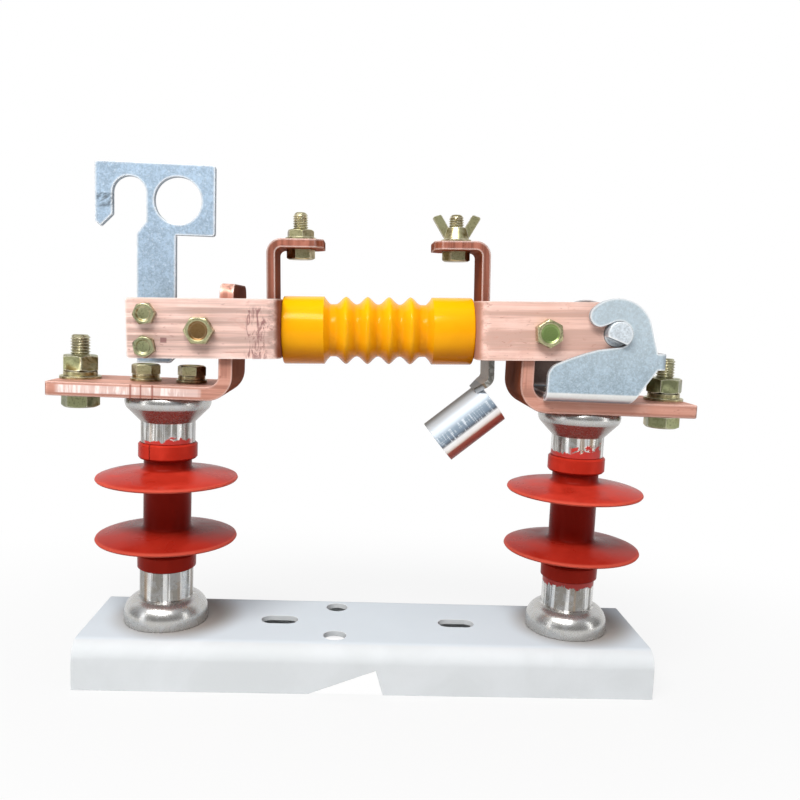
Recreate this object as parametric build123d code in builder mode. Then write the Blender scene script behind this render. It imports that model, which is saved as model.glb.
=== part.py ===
"""Single-pole knife switch on two sheathed posts; its fuse carrier swings up about a hook-seated pin.

Frame: X along the base, -Y to the front, +Z up, origin at the middle of the base's underside. Millimetres.
The carrier is drawn level about its hinge pin and then set down by its small closing angle.
"""

import os
from math import cos, radians, sin

from build123d import *

os.makedirs("parts", exist_ok=True)

# Base channel
base_length = 300.0
base_width = 72.0
base_height = 25.0
base_sheet = 3.0
base_bend = 9.0
slot_spacing = 98.0
slot_length = 20.0
slot_width = 11.0
mount_hole_x = -18.0
mount_hole_spacing = 40.0
mount_hole_diameter = 12.0
notch_foot_x = -30.5
notch_peak_x = 3.9
notch_heel_x = 8.0
notch_rise = 13.0

# Insulating posts
post_spacing = 222.0
post_height = 123.0
flange_radius = 22.3
foot_height = 29.4
foot_rim = 4.0
foot_shoulder = 13.5
head_height = 25.2
head_rim = 6.5
head_cone = 7.5
head_bulge = 1.0
neck_radius = 14.1
core_radius = 8.0
core_clearance = 1.5
core_head_socket = 11.0
sheath_shank_radius = 12.5
collar_radius = 15.4
collar_height = 8.6
shed_radius = 37.0
shed_rim = 2.4
shed_crown = 3.6
shed_droop = 1.0
lower_shed_height = 44.9
shed_pitch = 32.4
foot_bolt_radius = 6.0
foot_bolt_depth = 16.0

# Contact bars
bar_thickness = 7.0
bar_width = 45.0
left_bar_bend = 5.8
right_bar_bend = 7.6
bar_corner = 2.5
left_leg_setback = 36.7
right_leg_setback = 38.2
left_leg_rise = 52.4
right_leg_rise = 38.0
leg_corner = 6.0
bar_screw_spacing = 24.0
terminal_beyond_post = 46.0
bar_beyond_terminal = 10.5
bar_screw_depth = 10.0

# Hinge bracket
bracket_sheet = 3.0
bracket_bend = 5.0
bracket_play = 1.0
bracket_relief = 0.5
ear_toe = 35.0
ear_heel = 9.2
ear_top = 20.0
ear_nose_x = -9.9
ear_nose_z = 8.9
ear_nose_radius = 5.45
ear_nose_start = 135
ear_nose_sweep = 155
ear_throat_reach = 9.6
ear_throat_drop = 8.3
ear_slope_reach = 20.4
ear_slope_drop = 11.9
ear_brow_reach = 30.0
ear_brow_drop = 16.0
ear_cheek_reach = 33.6
ear_cheek_drop = 18.9
ear_front_reach = 34.8
ear_front_drop = 23.0
ear_chin_reach = 21.2
ear_chin_drop = 17.7
ear_tab_reach = 20.6
ear_tab_drop = 8.9
ear_nape_reach = 16.8
ear_nape_rise = 4.2
ear_crown_reach = 4.9
ear_crown_rise = 17.0
ear_seat_start = 127
ear_seat_sweep = 217
ear_back = 22.0
pin_seat_play = 0.3
tab_setback = 21.0
tab_floor = -17.5
tab_rise = 8.3
tab_root = 17.0
tab_bend = 3.0
tab_inset = 8.0

# Hinge pin and its place
pin_beyond_post = 9.0
pin_rise = 35.5
pin_radius = 6.5
pin_flat = 3.5
pin_flat_turn = 22.0
pin_overhang = 3.0
pin_edge = 0.6
pin_shoulder = 0.4
closing_angle = 1.9

# Blade straps, measured along the carrier from the pin
blade_thickness = 3.0
blade_height = 30.0
blade_lift = 1.0
blade_play = 0.3
blade_bend = 4.0
blade_corner = 1.8
blade_nose = 11.0
blade_nose_corner = 11.0
insulator_start = 71.0
left_web_gap = 23.3
left_strap_length = 75.3
right_clamp_gap = 0.9
left_clamp_gap = 4.9

# Rod insulator
insulator_radius = 17.9
insulator_end_band = 21.5
insulator_valley_depth = 4.0
insulator_crests = 4
insulator_band_rim = 1.6
insert_depth = 16.0

# Fuse brackets
angle_thickness = 4.5
angle_width = 28.0
angle_bend = 3.0
angle_arm = 29.0
angle_top = 46.7
angle_foot = 13.0
angle_corner = 4.0
fuse_stud_offset = 16.5

# Hook and eye plate
plate_thickness = 4.0
plate_lean = 1.5
plate_lean_height = 50.0
strip_width = 20.0
strip_foot = 17.8
strip_chamfer = 3.0
head_top = 84.9
head_foot = 48.8
head_overhang = 20.0
finger_width = 8.8
finger_foot = 52.0
finger_tip_rise = 2.6
plate_corner = 1.6
slot_setback = 4.9
slot_shoulder = 6.4
hook_slot_width = 17.2
hook_slot_top = 77.9
eye_radius = 12.1
eye_above_pin = 66.3
eye_from_edge = 19.0
plate_screw_inset = 10.7
plate_screw_spacing = 16.2
spacer_radius = 5.5

# Operating-stick socket, one sheet with the strap it hangs from
socket_radius = 12.3
socket_length = 36.5
socket_slope = 38.0
socket_drop = 48.8
socket_reach = 73.8
hanger_thickness = 3.2
hanger_width = 28.0
hanger_bend = 3.0
hanger_rise = 12.0
hanger_lap = 4.0
hanger_proud = 0.4
hanger_shoulder = 6.0

# Screws, with across-flats sizes and heights of their heads and nuts
m6_radius = 3.0
m6_flats = 10.0
m6_head = 4.0
m6_nut = 5.0
m8_radius = 4.0
m8_flats = 13.0
m8_head = 5.3
m8_nut = 6.5
m8_thin_nut = 4.0
m10_radius = 5.0
m10_flats = 17.0
m10_head = 6.4
m10_nut = 8.4
m12_flats = 19.0
m12_head = 7.5
hole_play = 0.5
thread_play = 0.15
washer_play = 0.25
flat_washer = 1.6
spring_washer = 2.1
spring_gap = 1.2
m8_washer_radius = 8.0
m8_spring_radius = 7.0
m8_fuse_washer_radius = 8.0
m10_washer_radius = 10.5
m10_spring_radius = 8.6
m10_spring = 2.4
m10_spring_gap = 1.4
m12_washer_radius = 12.0
terminal_stud_rise = 23.0
fuse_stud_rise = 14.5
screw_tail = 3.0
clamp_tail = 1.0
screw_end_gap = 2.0
wing_hub_radius = 6.8
wing_hub_height = 6.2
wing_hub_taper = 16
wing_span = 26.0
wing_rise = 13.0
wing_width = 4.6
wing_skew = 1.5
wing_slope = 1.9
wing_foot = 1.0
wing_corner = 1.0
wing_thickness = 3.0

# Heights and places that follow
deck = base_height
bar_floor = deck + post_height
bar_top = bar_floor + bar_thickness
pin_height = bar_top + pin_rise
blade_inner = bar_width / 2 + blade_play
blade_outer = blade_inner + blade_thickness
ear_inner = blade_outer + bracket_play
ear_outer = ear_inner + bracket_sheet
post_x = post_spacing / 2
pin_x = post_x + pin_beyond_post
terminal_x = post_x + terminal_beyond_post
bar_reach = terminal_x + bar_beyond_terminal
tab_x = pin_x + tab_setback
left_leg_face = post_x - left_leg_setback
right_leg_face = post_x - right_leg_setback
insulator_end = pin_x + left_leg_face - left_web_gap
insulator_length = insulator_end - insulator_start
right_clamp_x = pin_x - right_leg_face - bar_thickness - m8_radius - right_clamp_gap
left_clamp_x = pin_x + left_leg_face + bar_thickness + m8_radius + left_clamp_gap
left_strap_reach = insulator_end + left_strap_length
plate_screw_x = left_strap_reach - plate_screw_inset
left_angle_face = insulator_end + blade_thickness
right_angle_face = insulator_start - blade_thickness
hanger_face = right_angle_face - angle_thickness
plate_middle = -left_strap_reach + strip_width / 2

# The carrier's level frame, its origin on the hinge pin's axis
carrier = Location((pin_x, 0, pin_height), (0, -closing_angle, 0))


def carried(plane):
    """A plane given in the carrier's level frame, as it stands in the closed switch."""
    return Plane(carrier * plane.location)


def leaned(x, z):
    """A point of the hook plate, given upright in the level frame, after the plate's small lean."""
    lean = radians(plate_lean)
    reach = x - plate_middle
    rise = z - plate_lean_height
    leaned_x = plate_middle + reach * cos(lean) + rise * sin(lean)
    leaned_z = plate_lean_height - reach * sin(lean) + rise * cos(lean)
    return leaned_x, leaned_z


def save(builder, name):
    """Labels a finished piece and writes its file."""
    builder.part.label = name
    export_step(builder.part, f"parts/{name}.step")


def upright(x, z):
    """A plane that faces up at a point on the middle line."""
    return Plane(origin=(x, 0, z))


def make_washers(name, seats, hole_radius, rim_radius, thickness, split=0.0):
    """Round washers lying on their seats, cut through on one side where they are spring washers."""
    with BuildPart() as washers:
        for seat in seats:
            with BuildSketch(seat):
                Circle(rim_radius)
                Circle(hole_radius, mode=Mode.SUBTRACT)
                if split:
                    with Locations((rim_radius, 0)):
                        Rectangle(2 * (rim_radius - hole_radius) + split, split, mode=Mode.SUBTRACT)
            extrude(amount=thickness)
    save(washers, name)


def make_screws(name, seats, radius, flats, head, shank):
    """Hexagon-head screws: each seat lies under the head and faces away from the shank."""
    with BuildPart() as screws:
        for seat in seats:
            with BuildSketch(seat):
                RegularPolygon(flats / 2, 6, major_radius=False)
            extrude(amount=head)
            with BuildSketch(seat):
                Circle(radius)
            extrude(amount=-shank)
    save(screws, name)


def make_nuts(name, seats, radius, flats, height):
    """Hexagon nuts that stand on their seats."""
    with BuildPart() as nuts:
        for seat in seats:
            with BuildSketch(seat):
                RegularPolygon(flats / 2, 6, major_radius=False)
                Circle(radius + thread_play, mode=Mode.SUBTRACT)
            extrude(amount=height)
    save(nuts, name)


# Base channel: bent sheet, open downwards, notched through both sides
with BuildPart() as base_channel:
    with BuildSketch(Plane.YZ) as outer_section:
        Rectangle(base_width, base_height, align=(Align.CENTER, Align.MIN))
        fillet(outer_section.vertices().group_by(Axis.Y)[-1], base_bend)
    extrude(amount=base_length / 2, both=True)
    with BuildSketch(Plane.YZ) as inner_section:
        Rectangle(base_width - 2 * base_sheet, base_height - base_sheet, align=(Align.CENTER, Align.MIN))
        fillet(inner_section.vertices().group_by(Axis.Y)[-1], base_bend - base_sheet)
    extrude(amount=base_length / 2, both=True, mode=Mode.SUBTRACT)
    with BuildSketch(Plane.XY.offset(base_height)):
        with GridLocations(slot_spacing, 0, 2, 1):
            SlotOverall(slot_length, slot_width)
        with Locations((mount_hole_x, -mount_hole_spacing / 2), (mount_hole_x, mount_hole_spacing / 2)):
            Circle(mount_hole_diameter / 2)
        with GridLocations(post_spacing, 0, 2, 1):
            Circle(foot_bolt_radius + hole_play)
    extrude(amount=-2 * base_sheet, mode=Mode.SUBTRACT)
    with BuildSketch(Plane.XZ):
        with BuildLine():
            Polyline((notch_foot_x, 0), (notch_peak_x, notch_rise), (notch_heel_x, 0), close=True)
        make_face()
    extrude(amount=base_width, both=True, mode=Mode.SUBTRACT)
save(base_channel, "base_channel")

# Screws that hold the posts, up through the base from inside the channel
base_seats = [Plane(origin=(x, 0, deck - base_sheet), z_dir=(0, 0, -1)) for x in (-post_x, post_x)]
make_washers("base_washers", base_seats, foot_bolt_radius + washer_play, m12_washer_radius, flat_washer)
head_seats = [seat.offset(flat_washer) for seat in base_seats]
base_shank = flat_washer + base_sheet + foot_bolt_depth - screw_end_gap
make_screws("base_screws", head_seats, foot_bolt_radius, m12_flats, m12_head, base_shank)

# Post parts, each turned about its post's axis
sheath_foot = foot_height
sheath_top = post_height - head_height
core_start = foot_bolt_depth + core_clearance
core_end = sheath_top + core_head_socket
for side, x in (("left", -post_x), ("right", post_x)):
    turning_axis = Axis((x, 0, 0), (0, 0, 1))
    half_section = Plane(origin=(x, 0, deck), x_dir=(1, 0, 0), z_dir=(0, -1, 0))
    screw_offsets = [(-bar_screw_spacing / 2, 0), (bar_screw_spacing / 2, 0)]

    with BuildPart() as post_foot:
        with BuildSketch(half_section):
            with BuildLine():
                Polyline((0, 0), (flange_radius, 0), (flange_radius, foot_rim))
                EllipticalCenterArc(
                    (neck_radius, foot_rim),
                    flange_radius - neck_radius,
                    foot_shoulder - foot_rim,
                    start_angle=0,
                    arc_size=90,
                )
                Polyline((neck_radius, foot_shoulder), (neck_radius, foot_height), (0, foot_height), (0, 0))
            make_face()
        revolve(axis=turning_axis)
        with BuildSketch(upright(x, deck)):
            Circle(foot_bolt_radius + thread_play)
        extrude(amount=foot_bolt_depth, mode=Mode.SUBTRACT)
        with BuildSketch(upright(x, deck + foot_height)):
            Circle(core_radius + thread_play)
        extrude(amount=core_start - foot_height, mode=Mode.SUBTRACT)
    save(post_foot, f"{side}_post_foot")

    with BuildPart() as post_core:
        with BuildSketch(upright(x, deck + core_start)):
            Circle(core_radius)
        extrude(amount=core_end - core_start)
    save(post_core, f"{side}_post_core")

    with BuildPart() as post_sheath:
        with BuildSketch(half_section):
            with Locations((0, sheath_foot)):
                Rectangle(sheath_shank_radius, sheath_top - sheath_foot, align=(Align.MIN, Align.MIN))
                Rectangle(collar_radius, collar_height, align=(Align.MIN, Align.MIN))
            with Locations((0, sheath_top)):
                Rectangle(collar_radius, collar_height, align=(Align.MIN, Align.MAX))
            for shed_foot in (lower_shed_height, lower_shed_height + shed_pitch):
                with BuildLine():
                    Polyline(
                        (0, shed_foot - shed_droop),
                        (sheath_shank_radius, shed_foot - shed_droop),
                        (shed_radius - shed_rim / 2, shed_foot),
                    )
                    ThreePointArc(
                        (shed_radius - shed_rim / 2, shed_foot),
                        (shed_radius, shed_foot + shed_rim / 2),
                        (shed_radius - shed_rim / 2, shed_foot + shed_rim),
                    )
                    Polyline(
                        (shed_radius - shed_rim / 2, shed_foot + shed_rim),
                        (sheath_shank_radius, shed_foot + shed_rim + shed_crown),
                        (0, shed_foot + shed_rim + shed_crown),
                        (0, shed_foot - shed_droop),
                    )
                make_face()
        revolve(axis=turning_axis)
        with BuildSketch(upright(x, deck + sheath_foot)):
            Circle(core_radius + thread_play)
        extrude(amount=sheath_top - sheath_foot, mode=Mode.SUBTRACT)
    save(post_sheath, f"{side}_post_sheath")

    with BuildPart() as post_head:
        with BuildSketch(half_section):
            with BuildLine():
                Polyline(
                    (0, sheath_top),
                    (neck_radius, sheath_top),
                    (neck_radius, post_height - head_rim - head_cone),
                    (flange_radius - head_bulge, post_height - head_rim),
                )
                Spline(
                    (flange_radius - head_bulge, post_height - head_rim),
                    (flange_radius, post_height - head_rim / 2),
                    (flange_radius - head_bulge, post_height),
                )
                Polyline((flange_radius - head_bulge, post_height), (0, post_height), (0, sheath_top))
            make_face()
        revolve(axis=turning_axis)
        with BuildSketch(upright(x, bar_floor)):
            with Locations(*screw_offsets):
                Circle(m8_radius + thread_play)
        extrude(amount=-bar_screw_depth, mode=Mode.SUBTRACT)
        with BuildSketch(upright(x, deck + sheath_top)):
            Circle(core_radius + thread_play)
        extrude(amount=core_end - sheath_top, mode=Mode.SUBTRACT)
    save(post_head, f"{side}_post_head")

# Contact bars, bent up into the legs that the blades grip
for side, sign, leg_face, leg_rise, bar_bend in (
    ("left", -1, left_leg_face, left_leg_rise, left_bar_bend),
    ("right", 1, right_leg_face, right_leg_rise, right_bar_bend),
):
    with BuildPart() as contact_bar:
        with BuildSketch(Plane.XZ):
            with BuildLine():
                FilletPolyline(
                    (sign * bar_reach, bar_top),
                    (sign * (leg_face + bar_thickness), bar_top),
                    (sign * (leg_face + bar_thickness), bar_top + leg_rise),
                    radius=bar_bend,
                )
                FilletPolyline(
                    (sign * bar_reach, bar_floor),
                    (sign * leg_face, bar_floor),
                    (sign * leg_face, bar_top + leg_rise),
                    radius=bar_bend + bar_thickness,
                )
                Line((sign * bar_reach, bar_floor), (sign * bar_reach, bar_top))
                Line(
                    (sign * leg_face, bar_top + leg_rise),
                    (sign * (leg_face + bar_thickness), bar_top + leg_rise),
                )
            make_face()
        extrude(amount=bar_width / 2, both=True)
        outer_end = contact_bar.faces().sort_by(Axis.X)[0 if sign < 0 else -1]
        fillet(outer_end.edges().filter_by(Axis.Z), bar_corner)
        leg_end = contact_bar.faces().sort_by(Axis.Z)[-1]
        fillet(leg_end.edges().filter_by(Axis.X), leg_corner)
        with BuildSketch(upright(sign * post_x, bar_top)):
            with Locations((-bar_screw_spacing / 2, 0), (bar_screw_spacing / 2, 0)):
                Circle(m8_radius + hole_play)
        extrude(amount=-bar_thickness, mode=Mode.SUBTRACT)
        with BuildSketch(upright(sign * terminal_x, bar_top)):
            Circle(m10_radius + hole_play)
        extrude(amount=-bar_thickness, mode=Mode.SUBTRACT)
    save(contact_bar, f"{side}_contact_bar")

# Screws that hold the bars on the posts; on the right they also hold the hinge bracket
bar_seats = []
for x, seat_height in ((-post_x, bar_top), (post_x, bar_top + bracket_sheet)):
    for offset in (-bar_screw_spacing / 2, bar_screw_spacing / 2):
        bar_seats.append(Plane(origin=(x + offset, 0, seat_height), x_dir=(0, 1, 0)))
make_washers("bar_flat_washers", bar_seats, m8_radius + washer_play, m8_washer_radius, flat_washer)
spring_seats = [seat.offset(flat_washer) for seat in bar_seats]
make_washers(
    "bar_spring_washers", spring_seats, m8_radius + washer_play, m8_spring_radius, spring_washer, spring_gap
)
screw_seats = [seat.offset(flat_washer + spring_washer) for seat in bar_seats]
bar_shank = flat_washer + spring_washer + bar_thickness + bar_screw_depth - screw_end_gap
make_screws("bar_screws", screw_seats, m8_radius, m8_flats, m8_head, bar_shank)

# Terminal studs, their heads under the bars
stud_shank = flat_washer + bar_thickness + terminal_stud_rise
under_seats = [Plane(origin=(x, 0, bar_floor), z_dir=(0, 0, -1)) for x in (-terminal_x, terminal_x)]
over_seats = [upright(x, bar_top) for x in (-terminal_x, terminal_x)]
terminal_seats = under_seats + over_seats
make_washers("terminal_washers", terminal_seats, m10_radius + washer_play, m10_washer_radius, flat_washer)
spring_seats = [seat.offset(flat_washer) for seat in over_seats]
make_washers(
    "terminal_spring_washers",
    spring_seats,
    m10_radius + washer_play,
    m10_spring_radius,
    m10_spring,
    m10_spring_gap,
)
nut_seats = [seat.offset(flat_washer + m10_spring) for seat in over_seats]
make_nuts("terminal_nuts", nut_seats, m10_radius, m10_flats, m10_nut)
head_seats = [seat.offset(flat_washer) for seat in under_seats]
make_screws("terminal_bolts", head_seats, m10_radius, m10_flats, m10_head, stud_shank)

# Hinge bracket: a bent channel cut to the hooked outline of its two ears, with a stop tab on each
with BuildPart() as hinge_bracket:
    with BuildSketch(Plane.YZ.offset(pin_x - ear_toe)) as outer_section:
        with Locations((0, bar_top)):
            Rectangle(2 * ear_outer, ear_top + pin_rise, align=(Align.CENTER, Align.MIN))
        fillet(outer_section.vertices().group_by(Axis.Y)[0], bracket_bend)
    extrude(amount=ear_toe + ear_back)
    with BuildSketch(Plane.YZ.offset(pin_x - ear_toe)) as inner_section:
        with Locations((0, bar_top + bracket_sheet)):
            Rectangle(2 * ear_inner, ear_top + pin_rise, align=(Align.CENTER, Align.MIN))
        fillet(inner_section.vertices().group_by(Axis.Y)[0], bracket_bend - bracket_sheet)
    extrude(amount=ear_toe + ear_back, mode=Mode.SUBTRACT)
    with BuildSketch(Plane(origin=(pin_x, ear_outer, pin_height), x_dir=(1, 0, 0), z_dir=(0, -1, 0))):
        with BuildLine():
            nose = CenterArc((ear_nose_x, ear_nose_z), ear_nose_radius, ear_nose_start, ear_nose_sweep)
            seat = CenterArc((0, 0), pin_radius + pin_seat_play, ear_seat_start, -ear_seat_sweep)
            Line(nose @ 1, seat @ 0)
            Line(seat @ 1, (-ear_throat_reach, -ear_throat_drop))
            ThreePointArc(
                (-ear_throat_reach, -ear_throat_drop),
                (-ear_slope_reach, -ear_slope_drop),
                (-ear_brow_reach, -ear_brow_drop),
            )
            ThreePointArc(
                (-ear_brow_reach, -ear_brow_drop),
                (-ear_cheek_reach, -ear_cheek_drop),
                (-ear_front_reach, -ear_front_drop),
            )
            Polyline(
                (-ear_front_reach, -ear_front_drop),
                (-ear_toe, -pin_rise),
                (ear_heel, -pin_rise),
                (ear_chin_reach, -ear_chin_drop),
                (ear_tab_reach, -ear_tab_drop),
                (ear_nape_reach, ear_nape_rise),
            )
            ThreePointArc((ear_nape_reach, ear_nape_rise), (ear_crown_reach, ear_crown_rise), nose @ 0)
        make_face()
    extrude(amount=2 * ear_outer, mode=Mode.INTERSECT)
    with BuildSketch(upright(pin_x - ear_toe, bar_top)):
        relief_end = right_leg_face + bar_thickness + right_bar_bend + bracket_relief
        relief_length = relief_end - (pin_x - ear_toe)
        Rectangle(relief_length, bar_width + bracket_play, align=(Align.MIN, Align.CENTER))
    extrude(amount=bracket_sheet, mode=Mode.SUBTRACT)
    for front in (-1, 1):
        with BuildSketch(Plane.XY.offset(pin_height + tab_floor)):
            with BuildLine():
                Line((pin_x + tab_root, front * ear_outer), (tab_x, front * ear_outer))
                outer = JernArc((tab_x, front * ear_outer), (1, 0), tab_bend + bracket_sheet, -front * 90)
                reach = Line(outer @ 1, (outer @ 1) + Vector(0, -front * tab_inset))
                Line(reach @ 1, (reach @ 1) + Vector(-bracket_sheet, 0))
                Line((reach @ 1) + Vector(-bracket_sheet, 0), (outer @ 1) + Vector(-bracket_sheet, 0))
                inner = JernArc((tab_x, front * ear_inner), (1, 0), tab_bend, -front * 90)
                Line((tab_x, front * ear_inner), (pin_x + tab_root, front * ear_inner))
                Line((pin_x + tab_root, front * ear_inner), (pin_x + tab_root, front * ear_outer))
            make_face()
        extrude(amount=tab_rise)
    with BuildSketch(upright(post_x, bar_top)):
        with Locations((-bar_screw_spacing / 2, 0), (bar_screw_spacing / 2, 0)):
            Circle(m8_radius + hole_play)
    extrude(amount=bracket_sheet, mode=Mode.SUBTRACT)
save(hinge_bracket, "hinge_bracket")

# Places of the two screws through the hook plate, on the plate's own lean
plate_screw_points = []
for z in (-plate_screw_spacing / 2, plate_screw_spacing / 2):
    plate_screw_points.append(leaned(-plate_screw_x, z))

# Blade straps: each a copper strip bent to a U round the end of the insulator
strap_plan = carried(Plane.XY.offset(blade_lift - blade_height / 2))
strap_side = carried(Plane.XZ)
strap_back = carried(Plane.XZ.offset(-blade_outer))

with BuildPart() as right_blade_strap:
    with BuildSketch(strap_plan) as strap_outside:
        with Locations((-insulator_start, 0)):
            Rectangle(insulator_start + blade_nose, 2 * blade_outer, align=(Align.MIN, Align.CENTER))
        fillet(strap_outside.vertices().group_by(Axis.X)[0], blade_bend + blade_thickness)
    extrude(amount=blade_height)
    with BuildSketch(strap_plan) as strap_inside:
        with Locations((-right_angle_face, 0)):
            Rectangle(right_angle_face + blade_nose, 2 * blade_inner, align=(Align.MIN, Align.CENTER))
        fillet(strap_inside.vertices().group_by(Axis.X)[0], blade_bend)
    extrude(amount=blade_height, mode=Mode.SUBTRACT)
    with BuildSketch(strap_back) as strap_profile:
        with Locations((-insulator_start, blade_lift)):
            Rectangle(insulator_start + blade_nose, blade_height, align=(Align.MIN, Align.CENTER))
        fillet(strap_profile.vertices().group_by(Axis.X)[-1], blade_nose_corner)
        Circle(pin_radius + thread_play, mode=Mode.SUBTRACT)
        with Locations((-right_clamp_x, 0)):
            Circle(m8_radius + hole_play, mode=Mode.SUBTRACT)
    extrude(amount=2 * blade_outer, mode=Mode.INTERSECT)
    with BuildSketch(carried(Plane.YZ.offset(-insulator_start))):
        Circle(m8_radius + hole_play)
    extrude(amount=blade_thickness, mode=Mode.SUBTRACT)
save(right_blade_strap, "right_blade_strap")

with BuildPart() as left_blade_strap:
    with BuildSketch(strap_plan) as strap_outside:
        with Locations((-insulator_end, 0)):
            Rectangle(left_strap_length, 2 * blade_outer, align=(Align.MAX, Align.CENTER))
        fillet(strap_outside.vertices().group_by(Axis.X)[-1], blade_bend + blade_thickness)
    extrude(amount=blade_height)
    with BuildSketch(strap_plan) as strap_inside:
        with Locations((-left_angle_face, 0)):
            Rectangle(left_strap_length, 2 * blade_inner, align=(Align.MAX, Align.CENTER))
        fillet(strap_inside.vertices().group_by(Axis.X)[-1], blade_bend)
    extrude(amount=blade_height, mode=Mode.SUBTRACT)
    with BuildSketch(strap_back) as strap_profile:
        with Locations((-insulator_end, blade_lift)):
            Rectangle(left_strap_length, blade_height, align=(Align.MAX, Align.CENTER))
        fillet(strap_profile.vertices().group_by(Axis.X)[0], blade_corner)
        with Locations((-left_clamp_x, 0)):
            Circle(m8_radius + hole_play, mode=Mode.SUBTRACT)
        with Locations(*plate_screw_points):
            Circle(m6_radius + hole_play, mode=Mode.SUBTRACT)
    extrude(amount=2 * blade_outer, mode=Mode.INTERSECT)
    with BuildSketch(carried(Plane.YZ.offset(-insulator_end))):
        Circle(m8_radius + hole_play)
    extrude(amount=-blade_thickness, mode=Mode.SUBTRACT)
save(left_blade_strap, "left_blade_strap")

# Rod insulator between the straps: two plain bands and a row of round crests
rod_axis = Axis((pin_x, 0, pin_height), (cos(radians(closing_angle)), 0, sin(radians(closing_angle))))
crest_pitch = (insulator_length - 2 * insulator_end_band) / (insulator_crests + 1)
middle_radius = insulator_radius - insulator_valley_depth / 2
with BuildPart() as insulator:
    with BuildSketch(strap_side) as rod_section:
        with BuildLine():
            wave_start = -insulator_end + insulator_end_band
            for number in range(insulator_crests + 1):
                left = wave_start + number * crest_pitch
                quarter = crest_pitch / 4
                if number:
                    ThreePointArc(
                        (left - quarter, middle_radius),
                        (left, insulator_radius),
                        (left + quarter, middle_radius),
                    )
                    valley_start = (left + quarter, middle_radius)
                else:
                    valley_start = (left, insulator_radius - insulator_band_rim)
                last = number == insulator_crests
                valley_end = (left + 3 * quarter, middle_radius)
                if last:
                    valley_end = (left + crest_pitch, insulator_radius - insulator_band_rim)
                ThreePointArc(
                    valley_start,
                    (left + crest_pitch / 2, insulator_radius - insulator_valley_depth),
                    valley_end,
                )
            wave_end = wave_start + (insulator_crests + 1) * crest_pitch
            Polyline(
                (wave_start, insulator_radius - insulator_band_rim),
                (wave_start - insulator_band_rim, insulator_radius),
                (-insulator_end + insulator_band_rim, insulator_radius),
                (-insulator_end, insulator_radius - insulator_band_rim),
                (-insulator_end, 0),
                (-insulator_start, 0),
                (-insulator_start, insulator_radius - insulator_band_rim),
                (-insulator_start - insulator_band_rim, insulator_radius),
                (wave_end + insulator_band_rim, insulator_radius),
                (wave_end, insulator_radius - insulator_band_rim),
            )
        make_face()
    revolve(axis=rod_axis)
    for end, inward in ((-insulator_start, -1), (-insulator_end, 1)):
        with BuildSketch(carried(Plane.YZ.offset(end))):
            Circle(m8_radius + thread_play)
        extrude(amount=inward * insert_depth, mode=Mode.SUBTRACT)
save(insulator, "insulator")

# Fuse brackets: angles clamped inside the straps' webs, their arms turned to each other
for side, face, sign in (("left", -left_angle_face, 1), ("right", -right_angle_face, -1)):
    with BuildPart() as fuse_bracket:
        with BuildSketch(carried(Plane.XZ)):
            with BuildLine():
                heel = face - sign * angle_thickness
                arm_end = heel + sign * angle_arm
                outside = FilletPolyline(
                    (heel, -angle_foot),
                    (heel, angle_top),
                    (arm_end, angle_top),
                    radius=angle_bend + angle_thickness,
                )
                inside = FilletPolyline(
                    (face, -angle_foot),
                    (face, angle_top - angle_thickness),
                    (arm_end, angle_top - angle_thickness),
                    radius=angle_bend,
                )
                Line(outside @ 0, inside @ 0)
                Line(outside @ 1, inside @ 1)
            make_face()
        extrude(amount=angle_width / 2, both=True)
        arm_face = fuse_bracket.faces().sort_by(Axis.X)[-1 if sign > 0 else 0]
        arm_corners = arm_face.edges().sort_by(Axis.Y)
        chamfer([arm_corners[0], arm_corners[-1]], angle_corner)
        with BuildSketch(carried(Plane.YZ.offset(face))):
            Circle(m8_radius + hole_play)
        extrude(amount=-sign * angle_thickness, mode=Mode.SUBTRACT)
        with BuildSketch(carried(Plane(origin=(heel + sign * fuse_stud_offset, 0, angle_top)))):
            Circle(m8_radius + hole_play)
        extrude(amount=-angle_thickness, mode=Mode.SUBTRACT)
    save(fuse_bracket, f"{side}_fuse_bracket")

# Studs for the fuse link, with a plain nut on the left and a wing nut on the right
left_stud_x = -left_angle_face - angle_thickness + fuse_stud_offset
right_stud_x = -hanger_face - fuse_stud_offset
arm_floor = angle_top - angle_thickness
stud_seats = [
    carried(Plane(origin=(x, 0, arm_floor), z_dir=(0, 0, -1))) for x in (left_stud_x, right_stud_x)
]
make_screws("fuse_bolts", stud_seats, m8_radius, m8_flats, m8_head, angle_thickness + fuse_stud_rise)
arm_seats = [carried(Plane(origin=(x, 0, angle_top))) for x in (left_stud_x, right_stud_x)]
make_washers("fuse_washers", arm_seats, m8_radius + washer_play, m8_fuse_washer_radius, flat_washer)
make_nuts("fuse_nut", [arm_seats[0].offset(flat_washer)], m8_radius, m8_flats, m8_thin_nut)

with BuildPart() as wing_nut:
    with BuildSketch(arm_seats[1].offset(flat_washer)):
        Circle(wing_hub_radius)
    extrude(amount=wing_hub_height, taper=wing_hub_taper)
    wing_foot_point = (right_stud_x, 0, angle_top + flat_washer)
    wing_plane = carried(Plane(origin=wing_foot_point, x_dir=(1, 0, 0), z_dir=(0, -1, 0)))
    with BuildSketch(wing_plane) as wings:
        tip_x = wing_span / 2
        heel_x = tip_x - (wing_rise - wing_foot) / wing_slope
        for sign in (-1, 1):
            with BuildLine():
                Polyline(
                    (sign * heel_x, wing_foot),
                    (sign * tip_x, wing_rise - wing_skew),
                    (sign * (tip_x - wing_width), wing_rise),
                    (sign * (heel_x - wing_width), wing_foot + wing_skew),
                    close=True,
                )
            make_face()
        wing_tips = wings.vertices().group_by(Axis.Y)
        fillet(wing_tips[-1] + wing_tips[-2], wing_corner)
    extrude(amount=wing_thickness / 2, both=True)
    with BuildSketch(arm_seats[1].offset(flat_washer)):
        Circle(m8_radius + thread_play)
    extrude(amount=wing_rise, mode=Mode.SUBTRACT)
save(wing_nut, "wing_nut")

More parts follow.
